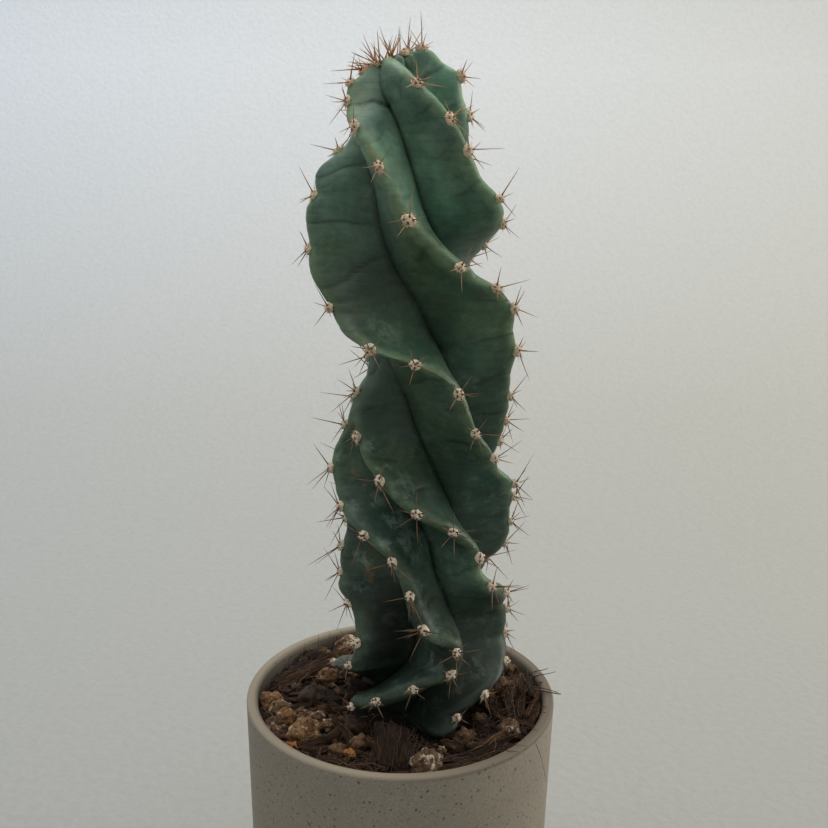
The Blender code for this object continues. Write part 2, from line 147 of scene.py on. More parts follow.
def drawnRod(sides, foot, drop, steps):
    # a rod one unit wide whose lowered top is drawn out again in steps, each with its rise and its size
    rod = begin(
        bpy.ops.mesh.primitive_cylinder_add,
        vertices=sides, radius=1, depth=1, location=(0, 0, foot + 0.5), end_fill_type="NGON",
    )
    selectBy(rod, "FACE", lambda face: face.normal.z > 0.9)
    bpy.ops.transform.translate(value=(0, 0, -drop))
    for rise, size in steps:
        bpy.ops.mesh.extrude_region_move(TRANSFORM_OT_translate={"value": (0, 0, rise)})
        bpy.ops.transform.resize(value=(size, size, 1))
    bpy.ops.object.mode_set(mode="OBJECT")
    return rod


def mark(piece, name, values):
    # one number at each point, for the material to read
    piece.data.attributes.new(name, "FLOAT", "POINT").data.foreach_set("value", values)


def copyOf(pattern, matrix, **marks):
    # a copy with its own mesh, its place in its mesh and marks of its own
    mesh = pattern.data.copy()
    mesh.transform(matrix)
    piece = bpy.data.objects.new(pattern.name + "Copy", mesh)
    bpy.context.collection.objects.link(piece)
    for name, value in marks.items():
        mark(piece, name, [value] * len(mesh.vertices))
    return piece


def discard(patterns):
    for pattern in patterns:
        bpy.data.objects.remove(pattern, do_unlink=True)


def joinAll(pieces):
    pick(pieces[0])
    for piece in pieces:
        piece.select_set(True)
    bpy.ops.object.join()
    return bpy.context.active_object


def dress(piece, name, material, node=None):
    # every piece ends with its place in its mesh, its own finish and the root body to ride on
    pick(piece)
    bpy.ops.object.transform_apply(location=True, rotation=True, scale=True)
    piece.name = name
    piece.data.name = name
    piece.data.materials.clear()
    piece.data.materials.append(material)
    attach(piece, "root")
    if node:
        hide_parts(node)


def moved(x, y, z):
    return Matrix.Translation(Vector((x, y, z)) * mm)


def sized(x, y, z):
    return Matrix.Diagonal((x * mm, y * mm, z * mm, 1))


def spun(angle, axis):
    return Matrix.Rotation(angle, 4, axis)


def layAlong(foot, way):
    return Matrix.Translation(foot) @ way.to_track_quat("Z", "Y").to_matrix().to_4x4()


def clamp(value, low=0.0, high=1.0):
    return min(max(value, low), high)


def climbed(value, start, end):
    # how much of the way from start to end the value has come
    return clamp((value - start) / (end - start))


# Camera, backdrop and light

stageSettings = {
    "lens": 43.48, "cameraPlace": (0.0, -0.4169, 0.3636), "yaw": -0.59, "pitch": 76.1, "roll": 0.86,
    "floorWidth": 4.0, "floorFront": -1.9, "wallBack": 1.15, "wallTop": 3.2,
    "sweepRadius": 0.7, "sweepSteps": 24,
    # each lamp's place, what it aims at, its size, its power and its colour
    "lamps": {
        "overhead": ((0.05, 0.2, 1.5), (0, 0, 0.2), 1.2, 13.0, "#fdfdff"),
        "window": ((-1.4, 0.15, 1.1), (0, 0, 0.3), 1.2, 2.8, "#fafcff"),
        "bounce": ((1.3, 0.3, 0.6), (0, 0, 0.2), 0.8, 10.5, "#fffaf2"),
        "wallWash": ((-0.8, 0.4, 1.6), (-0.5, 1.15, 0.6), 0.8, 4.0, "#f6faff"),
        "front": ((0.3, -1.7, 1.0), (0, 0, 0.2), 1.6, 2.5, "#fffdf8"),
    },
    "sky": "#f8f9fa", "skyStrength": 0.34,
}


def plasterMaterial():
    # matt wall paint on rolled plaster, with painted light: lighter and cooler up the wall on the left, greyer where it
    # meets the floor
    material, tree = newMaterial("rolledPlasterPaint", {"Roughness": 0.9})
    place = addNode(tree, "TexCoord", {})["Object"]
    parts = addNode(tree, "SeparateXYZ", {0: place})
    climb = addNode(tree, "Math", {"operation": "MULTIPLY_ADD", 0: parts["Y"], 1: 0.35, 2: parts["Z"]})[0]
    across = addNode(tree, "MapRange", {0: parts["X"], 1: -0.7, 2: 0.7})[0]
    # the roller's stipple is about 6 mm across, and painted shade greys its hollows
    stipple = addNode(tree, "TexNoise", {"Vector": place, "Scale": 1 / (6 * mm), "Detail": 3})["Fac"]
    # painted light on the wall: lighter going up it, lighter and cooler to the left, darker and warmer to the right
    tone, cast, paintedShade = [
        addNode(tree, "ValToRGB", {0: source, "stops": stops})[0]
        for source, stops in (
            (climb, [(0, "#a5a49f"), (0.34, "#bcbbb6"), (0.9, "#e5e7e9")]),
            (across, [(0, "#f6fbff"), (0.5, "#f5f6f4"), (1, "#e6e6e0")]),
            (stipple, [(0.35, 0.965), (0.62, 1)]),
        )
    ]
    for over in (cast, paintedShade):
        tone = addNode(tree, "Mix", {"data_type": "RGBA", "blend_type": "MULTIPLY", 0: 1, 6: tone, 7: over})[2]
    bump = addNode(tree, "Bump", {"Strength": 0.55, "Distance": 1.5 * mm, "Height": stipple})[0]
    return wire(material, {"Base Color": tone, "Normal": bump})


def makeCamera():
    s = stageSettings
    camera = bpy.data.cameras.new("camera")
    camera.lens = s["lens"]
    camera.sensor_width = 36
    camera.clip_start = 0.01
    view = bpy.data.objects.new("camera", camera)
    yaw, pitch, roll = [math.radians(s[key]) for key in ("yaw", "pitch", "roll")]
    view.matrix_world = Matrix.Translation(s["cameraPlace"]) @ spun(yaw, "Z") @ spun(pitch, "X") @ spun(roll, "Z")
    bpy.context.scene.collection.objects.link(view)
    bpy.context.scene.camera = view
    bpy.context.scene.view_settings.view_transform = "Standard"


def makeBackdrop():
    # one sheet runs along the floor, up a wide sweep and up the wall
    s = stageSettings
    half, bendFrom = s["floorWidth"] / 2, s["wallBack"] - s["sweepRadius"]
    sheet = begin(bpy.ops.mesh.primitive_plane_add, size=1)
    sheet.name = "backdrop"
    for vertex in sheet.data.vertices:
        vertex.co = (math.copysign(half, vertex.co.x), s["floorFront"] if vertex.co.y < 0 else bendFrom, 0)
    ends = [vertex.co.y for vertex in sheet.data.vertices]
    selectBy(sheet, "EDGE", lambda edge: min(ends[i] for i in edge.vertices) > s["floorFront"] + 0.01)
    bpy.ops.mesh.spin(
        steps=s["sweepSteps"], angle=math.radians(-90), axis=(1, 0, 0), center=(0, bendFrom, s["sweepRadius"]),
    )
    bpy.ops.mesh.extrude_region_move(TRANSFORM_OT_translate={"value": (0, 0, s["wallTop"])})
    bpy.ops.mesh.select_all(action="SELECT")
    bpy.ops.mesh.remove_doubles(threshold=0.1 * mm)
    faceOutwards()
    bpy.ops.object.shade_smooth()
    sheet.data.materials.append(plasterMaterial())


def makeLight():
    s = stageSettings
    for name, (place, aim, size, power, colour) in s["lamps"].items():
        lamp = bpy.data.lights.new(name, "AREA")
        lamp.size, lamp.energy, lamp.color = size, power, srgb(colour)[:3]
        lit = bpy.data.objects.new(name, lamp)
        lit.matrix_world = layAlong(place, Vector(place) - Vector(aim))
        lit.visible_camera = False
        bpy.context.scene.collection.objects.link(lit)
    world = bpy.data.worlds.new("softRoom")
    world.use_nodes = True
    sky = world.node_tree.nodes["Background"].inputs
    sky["Color"].default_value = srgb(s["sky"])
    sky["Strength"].default_value = s["skyStrength"]
    bpy.context.scene.world = world


makeCamera()
makeBackdrop()
makeLight()
print("stage ready")


# Pot

potSettings = {
    "height": 130.0, "rimRadius": 70.0, "baseRadius": 67.3, "wall": 5.0, "floor": 6.0, "floorCorner": 3.0,
    "outerRound": 1.3, "innerRound": 1.9, "lipSteps": 8, "footChamfer": 1.5, "sides": 180, "centre": 0.001,
    "outerRings": range(8, 128, 8), "innerRings": range(120, 15, -15),
}


def wallRadius(z):
    p = potSettings
    return p["baseRadius"] + (p["rimRadius"] - p["baseRadius"]) * z / p["height"] - p["wall"]


def stonewareMaterial():
    # unglazed stoneware, cast and sanded: matt warm grey with iron specks, and a paler rubbed rim
    material, tree = newMaterial("speckledStoneware", {"Roughness": 0.72})
    place = addNode(tree, "TexCoord", {})["Object"]
    parts = addNode(tree, "SeparateXYZ", {0: place})
    clouds = addNode(tree, "TexNoise", {"Vector": place, "Scale": 1 / (28 * mm), "Detail": 4})["Fac"]
    body = addNode(tree, "ValToRGB", {0: clouds, "stops": [(0.3, "#8a8273"), (0.7, "#918979")]})[0]
    # the sand in the clay shows in grains of about 0.9 mm
    sand = addNode(tree, "TexNoise", {"Vector": place, "Scale": 1 / (0.9 * mm), "Detail": 2})["Fac"]
    gritty = addNode(tree, "ValToRGB", {0: sand, "stops": [(0.3, 0.3), (0.7, 0.7)]})[0]
    tone = addNode(tree, "Mix", {"data_type": "RGBA", "blend_type": "SOFT_LIGHT", 0: 0.5, 6: body, 7: gritty})[2]
    # ragged iron specks of 0.3 to 1.2 mm, one in each cell of 2.3 mm
    cells = addNode(tree, "TexVoronoi", {"Vector": place, "Scale": 1 / (2.3 * mm)})
    lot = addNode(tree, "SeparateColor", {0: cells["Color"]})[0]
    size = addNode(tree, "MapRange", {0: lot, 1: 0.2, 3: 0.06, 4: 0.26})[0]
    bled = addNode(tree, "Math", {"operation": "DIVIDE", 0: cells["Distance"], 1: size})[0]
    frayed = addNode(tree, "Math", {"operation": "MULTIPLY_ADD", 0: sand, 1: 2.4, 2: bled})[0]
    speck = addNode(tree, "MapRange", {0: frayed, 1: 1.65, 2: 2.65, 3: 1, 4: 0})[0]
    shown = addNode(tree, "Math", {"operation": "MULTIPLY", 0: speck, 1: 0.8})[0]
    # the top of the rim is rubbed plain over its last millimetre
    low, high = (potSettings["height"] - 0.9) * mm, (potSettings["height"] - 0.2) * mm
    rubbed = addNode(tree, "MapRange", {0: parts["Z"], 1: low, 2: high, 4: 0.9})[0]
    # painted shade darkens the inside just above the mix, and the rim on the right where threads lie over it
    flat = addNode(tree, "VectorMath", {"operation": "MULTIPLY", 0: place, 1: (1, 1, 0)})[0]
    reach = addNode(tree, "VectorMath", {"operation": "LENGTH", 0: flat})["Value"]
    inside = addNode(tree, "MapRange", {0: reach, 1: 0.0655, 2: 0.0672, 3: 0.5, 4: 0})[0]
    rightward = addNode(tree, "MapRange", {0: parts["X"], 1: -0.01, 2: 0.042, 4: 0.75})[0]
    onRim = addNode(tree, "MapRange", {0: parts["Z"], 1: 0.1275, 2: 0.1288})[0]
    laid = addNode(tree, "Math", {"operation": "MULTIPLY", 0: rightward, 1: onRim})[0]
    paintedShade = addNode(tree, "Math", {"operation": "MAXIMUM", 0: inside, 1: laid})[0]
    # the last layer is the painted shade inside the pot and on the right of the rim
    for amount, colour in ((shown, "#4d392c"), (rubbed, "#8c806b"), (paintedShade, "#5c5142")):
        tone = addNode(tree, "Mix", {"data_type": "RGBA", 0: amount, 6: tone, 7: colour})[2]
    bump = addNode(tree, "Bump", {"Strength": 0.25, "Distance": 0.15 * mm, "Height": sand})[0]
    return wire(material, {"Base Color": tone, "Normal": bump})


def makePot():
    p = potSettings
    base, floor, corner = p["baseRadius"], p["floor"], p["floorCorner"]
    profile = [(p["centre"], 0), (base - p["footChamfer"], 0), (base, p["footChamfer"])]
    profile += [(wallRadius(z) + p["wall"], z) for z in p["outerRings"]]
    quarter = [math.radians(90 * i / p["lipSteps"]) for i in range(p["lipSteps"] + 1)]
    for side, lip in ((-1, p["outerRound"]), (1, p["innerRound"])):
        shoulder = p["height"] - lip
        edge = wallRadius(shoulder) + (p["wall"] if side < 0 else 0)
        arc = [(edge + side * lip * (1 - math.cos(a)), shoulder + lip * math.sin(a)) for a in quarter]
        profile += arc if side < 0 else arc[::-1]
    profile += [(wallRadius(z), z) for z in p["innerRings"]]
    profile += [(wallRadius(floor + corner), floor + corner), (wallRadius(floor) - corner, floor), (p["centre"], floor)]

    def place(column, row):
        radius, z = profile[row]
        angle = 2 * math.pi * column / p["sides"]
        return (radius * math.cos(angle) * mm, radius * math.sin(angle) * mm, z * mm)

    pot = rolledGrid(p["sides"], len(profile), place)
    bpy.ops.object.shade_smooth_by_angle(angle=math.radians(35))
    dress(pot, "turnedPot", stonewareMaterial(), "pot")
    print("pot ready")


makePot()


# The plant's form: ribs followed down from the growing tip. Each areole, and each place on the crest between two,
# has a height, an azimuth from the front and a reach. A listed fold has its place on the crest, its flank,
# and then its height, slope, depth and length.

ribRows = [
    {
        "areoles": [
            (404, -65, 4.5), (402.6, -65, 10), (400.5, -66, 17), (394, -58, 19.5), (383, -32, 27),
            (365, -13, 33), (344, 2, 38), (327, 26, 41.5), (318, 50, 42.3), (309, 66, 42.5), (290, 80, 41),
            (269, 90, 37.3), (257, 98, 36), (246, 108, 35.3), (234, 122, 34.5), (222, 137, 36), (210, 152, 36),
            (200, 166, 36), (190, 180, 36), (180, 196, 36), (170, 212, 36.5), (161, 222, 37), (152, 220, 37),
            (144, 206, 37), (136, 184, 37),
        ],
        "crest": [(322.5, 38, 36.5), (313.5, 59, 41), (299.5, 74, 39.8), (279, 85.5, 37.5)],
        "foot": [(129, 164, 35), (125, 160, 26)],
        "folds": [(395.5, 1, 392.5, -5.5, 6, 1.3), (388, 1, 386, 5, 0.3, 0.8)],
    },
    {
        "areoles": [
            (404, 10, 4.5), (402.8, 12, 9.5), (399, 18, 16), (390, 28, 24), (375, 43, 32), (364, 49, 35.3),
            (348, 65, 41), (340, 82, 39), (332, 108, 32.7), (325, 130, 32), (315, 144, 34), (301, 156, 36),
            (287, 168, 37.5), (272, 184, 37), (258, 200, 36.5), (245, 216, 36), (233, 232, 36), (222, 247, 35),
            (211, 260, 35.3), (200, 270, 37), (189, 274, 37.5), (178, 288, 35.5), (164, 307, 36), (152, 300, 37),
            (144, 268, 40), (136, 246, 38),
        ],
        "crest": [(355, 57, 35.8), (206, 265, 34.3), (184, 280, 38.6), (173, 296, 33.8)],
        "foot": [(129, 226, 35), (125, 220, 26)],
        "folds": [],
    },
    {
        "areoles": [
            (404, 85, 4.5), (403.4, 85, 9.5), (402, 85, 17.5), (388, 88, 29.5), (375, 103, 31.5), (362, 117, 31),
            (349, 132, 34), (335, 147, 37), (320, 162, 39), (305, 184, 39), (290, 205, 36), (276, 224, 31),
            (264, 243, 33.5), (254, 262, 34), (236, 270, 40), (223, 290, 38), (215, 317, 37), (206, 338, 36),
            (192, 349, 36), (178, 357, 37), (168, 380, 39), (157, 380, 36), (150, 351, 34.5), (142, 327, 36),
            (135, 304, 38),
        ],
        "crest": [(399.5, 86, 19.8), (395.5, 86.5, 22.3), (382, 94, 28.8), (259, 252, 32.8), (229, 280, 38)],
        "foot": [(130, 299, 29), (126, 295, 17)],
        "folds": [],
    },
    {
        "areoles": [
            (404, 155, 4.5), (402.6, 156, 10), (399, 158, 18), (389, 163, 25), (375, 172, 31), (359, 183, 34),
            (343, 196, 37), (327, 209, 38), (311, 222, 34), (297, 234, 28), (284, 250, 23), (271, 280, 27.5),
            (255, 304, 33), (240, 330, 36), (228, 354, 37), (220, 378, 37), (207, 397, 37), (192, 408, 36.5),
            (184, 432, 36.5), (169, 458, 37.5), (156, 462, 38), (147, 448, 37.5), (140, 413, 33), (133, 389, 30),
            (127, 375, 34),
        ],
        "crest": [(278, 264, 22.5), (199.5, 400, 33.8), (173.5, 451, 34.8)],
        "foot": [(124.6, 374, 31)],
        "folds": [],
    },
    {
        "areoles": [
            (404, 225, 4.5), (402.6, 230, 9), (398, 236, 12.5), (390, 243, 14.5), (376, 255, 24),
            (358, 268, 35.5), (330, 270, 41), (308.5, 298, 39.5), (295, 330, 41), (290, 360, 41), (278, 381, 40),
            (261, 391, 39), (248, 411, 37), (233, 435, 40), (224, 450, 39.3), (211, 456, 38), (200, 460, 36.5),
            (190, 475, 31), (180, 492, 32.5), (170, 508, 36), (161, 519, 37), (152, 517, 37), (144, 502, 37),
            (136, 480, 36),
        ],
        "crest": [
            (384, 248, 17), (373, 257.5, 31.8), (367, 262, 35), (353, 268, 39.6), (326, 272, 42),
            (254.5, 401, 37), (242, 420, 34.8), (228.5, 443, 37.3), (217.5, 453, 37.2),
        ],
        "foot": [(129, 462, 34), (125, 456, 26)],
        "folds": [
            (367, 1, 367, 1, 0.75, 1.1), (344, 1, 344, -2, 0.7, 1.1), (319, 1, 314, 15, 0.8, 1.2),
            (300, 1, 301, 6, 0.3, 0.6),
        ],
    },
]

stemSettings = {
    "axisX": [
        (90, 9.5), (124, 9.5), (180, 10.5), (230, 9), (260, 8), (290, 6), (309, 4.7), (320, 3), (340, 0),
        (354, -1.5), (370, -4), (385, -6.5), (405, -9.5),
    ],
    "axisY": [(90, -3), (124, -3), (170, -1), (230, 0), (405, 0)],
    "lean": [(90, 0), (330, 0), (350, 7), (370, 15), (385, 20), (405, 24)],
    "core": [
        (90, 14), (124, 14), (126, 13), (140, 12), (380, 12), (392, 9), (400, 5.5), (403, 3), (404.5, 1.5),
    ],
    "crestHalf": [(90, 3.8), (180, 3.0), (235, 2.3), (300, 2.2), (350, 2.7), (405, 2.7)],
    "soilTop": 123.6, "plugBottom": 100.0, "tipHeight": 404.1, "ringStep": 0.62, "footStep": 0.35,
    "tipFrom": 398, "tipStep": 0.6, "tipRings": [402.6, 403.0, 403.4, 403.8], "flankPoints": 14,
    "crestDepth": 4.6, "fullness": 0.95, "crowding": 1.35, "mostSlant": 2.2,
    "furrowBase": 0.82, "furrowPerGap": 0.25, "shallowest": 0.92, "furrowFade": 6.0,
    "notch": 0.8, "notchedReach": (12, 27), "footClearance": 0.8, "footRound": 2.6,
    "foldDepth": 1.6, "foldedRise": (4, 12), "foldWidth": 0.6, "foldValley": 4.0, "foldSlope": (-2.0, 11.0),
    "foldShare": (0.4, 1.1), "foldLength": (0.5, 1.0), "foldWander": 0.8,
    "wrinkles": 3, "wrinkleShare": (0.12, 0.45), "wrinkleLength": (0.25, 0.7), "wrinkleSpread": 0.45,
    "oldBelow": 260, "oldDeeper": 1.6, "smoothFrom": 310, "waver": 0.45, "waverSize": 17.0,
}


def smoothCurve(rows):
    # a function of height through the rows' values that never overshoots them
    xs, ys = zip(*sorted(rows))
    steps = [b - a for a, b in zip(xs, xs[1:])]
    rises = [(b - a) / step for a, b, step in zip(ys, ys[1:], steps)]
    slopes = [rises[0]]
    for before, after, first, second in zip(rises, rises[1:], steps, steps[1:]):
        near, far = 2 * second + first, second + 2 * first
        slopes.append((near + far) / (near / before + far / after) if before * after > 0 else 0.0)
    slopes.append(rises[-1])

    def value(x):
        x = clamp(x, xs[0], xs[-1])
        i = max(k for k in range(len(steps)) if xs[k] <= x)
        t = (x - xs[i]) / steps[i]
        return (
            (2 * t**3 - 3 * t**2 + 1) * ys[i]
            + (t**3 - 2 * t**2 + t) * steps[i] * slopes[i]
            + (3 * t**2 - 2 * t**3) * ys[i + 1]
            + (t**3 - t**2) * steps[i] * slopes[i + 1]
        )

    return value


def eased(curve, x, width):
    return sum(curve(x + width * share) for share in (-1.0, -0.5, 0.0, 0.5, 1.0)) / 5


def foldsOf(counted, chosen):
    # midway between two areoles a fold crosses each flank, and finer wrinkles run beside it
    s = stemSettings
    folds = {}
    for k, (below, above) in enumerate(zip(counted, counted[1:])):
        middle, rise = (below[0] + above[0]) / 2, above[0] - below[0]
        strength = s["foldDepth"] * climbed(rise, *s["foldedRise"])
        old = middle < s["oldBelow"]
        for side in (-1, 1):
            # each row has a height, a slope, a depth and a length
            rows = [row[2:] for row in chosen if below[0] <= row[0] < above[0] and row[1] == side]
            if not rows:
                z = middle + between(-0.1, 0.1) * rise
                rows.append((z, between(*s["foldSlope"]), between(*s["foldShare"]), between(*s["foldLength"])))
            for i in range(s["wrinkles"] + old if middle < s["smoothFrom"] else 1):
                z = middle + between(-s["wrinkleSpread"], s["wrinkleSpread"]) * rise
                slope, depth = between(*s["foldSlope"]), between(*s["wrinkleShare"]) * (s["oldDeeper"] if old else 1)
                rows.append((z, slope, depth, between(*s["wrinkleLength"])))
            folds[k, side] = [
                (z, side * slope, strength * depth, length, between(*anyTurn)) for z, slope, depth, length in rows
            ]
    return folds


axisX, axisY, lean, core, crestHalf = [
    smoothCurve(stemSettings[key]) for key in ("axisX", "axisY", "lean", "core", "crestHalf")
]
ribCurves = []
for ribRow in ribRows:
    counted = sorted(ribRow["areoles"] + ribRow["foot"])
    shaped = sorted(counted + ribRow["crest"])
    ribCurves.append({
        "azimuth": smoothCurve([(row[0], math.radians(row[1])) for row in shaped]),
        "reach": smoothCurve([(row[0], row[2]) for row in shaped]),
        "count": smoothCurve([(row[0], i) for i, row in enumerate(counted)]),
        "folds": foldsOf(counted, ribRow["folds"]),
    })


def outward(z, azimuth):
    tilt, across = math.radians(lean(z)), math.sin(azimuth)
    return Vector((across * math.cos(tilt), -math.cos(azimuth), across * math.sin(tilt)))


def sectionPoint(z, azimuth, radius):
    across, back = radius * math.sin(azimuth), -radius * math.cos(azimuth)
    tilt = math.radians(lean(z))
    return Vector((axisX(z) + across * math.cos(tilt), axisY(z) + back, z + across * math.sin(tilt)))


def ribAt(curve, z):
    s = stemSettings
    azimuth, above, below = [eased(curve["azimuth"], z + step, 3.0) for step in (0, 1, -1)]
    reach = eased(curve["reach"], z, 1.5)
    calm = climbed(reach, *s["notchedReach"])
    count = curve["count"](z)
    reach += s["notch"] * calm * (1 - math.cos(2 * math.pi * count)) / 2
    rise = clamp((z - s["soilTop"] - s["footClearance"]) / s["footRound"])
    reach = core(z) + (reach - core(z)) * math.sqrt(1 - (1 - rise) ** 2)
    return {
        "azimuth": azimuth, "turn": (above - below) / 2, "reach": max(reach, core(z)),
        "folds": curve["folds"], "count": int(count), "calm": calm, "crestHalf": crestHalf(z),
    }


def flank(rib, floor, half, ease):
    # radius, half angle and share of the depth down one side of a rib
    s = stemSettings
    side, reach = [], rib["reach"]
    slant = min(math.sqrt(1 + (reach * rib["turn"]) ** 2), s["mostSlant"])
    for i in range(1, s["flankPoints"]):
        share = (i / s["flankPoints"]) ** s["crowding"]
        radius = reach - (reach - floor) * share
        bend = min(share * (reach - floor) / s["crestDepth"], 1)
        crest = rib["crestHalf"] * slant * math.sqrt(1 - (1 - bend) ** 2) * (1 - share)
        angle = (crest + floor * half * share ** s["fullness"]) / radius
        angle = min(angle, half * (0.97 + 0.03 * share))
        side.append((radius, angle * ease + half * i / s["flankPoints"] * (1 - ease), share))
    return side


def foldAt(rib, side, z, share):
    # how many millimetres a fold presses this point of the flank in, and how near the bottom of the fold it is
    s = stemSettings
    pressed, sharp = 0.0, 0.0
    for k in (rib["count"] - 1, rib["count"], rib["count"] + 1):
        for height, slope, deepest, length, wander in rib["folds"].get((k, side), []):
            away = abs(z - height - slope * share - s["foldWander"] * math.sin(7 * share + wander))
            depth = deepest * rib["calm"] * clamp((length - share) / 0.3) * clamp(0.3 + share * 5)
            edge = math.exp(-away / s["foldWidth"])
            pressed = max(pressed, depth * (0.6 * edge + 0.4 * math.exp(-(away / s["foldValley"]) ** 2)))
            sharp = max(sharp, depth * edge)
    return pressed, sharp


def skinSection(z):
    # points round the ribs at one height, each with its share of the furrow's depth and its fold
    s = stemSettings
    ribs = [ribAt(curve, z) for curve in ribCurves]
    outline = []
    for here, after in zip(ribs, ribs[1:] + ribs[:1]):
        start, end = here["azimuth"], after["azimuth"]
        gap = (end - start) % (2 * math.pi)
        lower = min(here["reach"], after["reach"])
        floor = min(core(z) * (s["furrowBase"] + s["furrowPerGap"] * gap), s["shallowest"] * lower)
        ease = clamp((lower - core(z)) / s["furrowFade"])
        floor = floor * ease + lower * (1 - ease)
        near, far = [flank(rib, floor, gap / 2, ease) for rib in (here, after)]
        outline.append((here["reach"], start, 0.0, here, 1))
        outline += [(radius, start + angle, share, here, 1) for radius, angle, share in near]
        outline.append((floor, start + gap / 2, 1.0, here, 1))
        outline += [(radius, end - angle, share, after, -1) for radius, angle, share in reversed(far)]
    points = []
    for radius, azimuth, share, rib, side in outline:
        pressed, sharp = foldAt(rib, side, z, share)
        # the flesh waves gently between the folds, least at the crest and in the furrow
        wave = noise.noise(sectionPoint(z, azimuth, radius) / s["waverSize"])
        wave = wave * s["waver"] * 4 * share * (1 - share) * rib["calm"]
        points.append((sectionPoint(z, azimuth, radius - pressed + wave), share, sharp))
    return points


# Plant

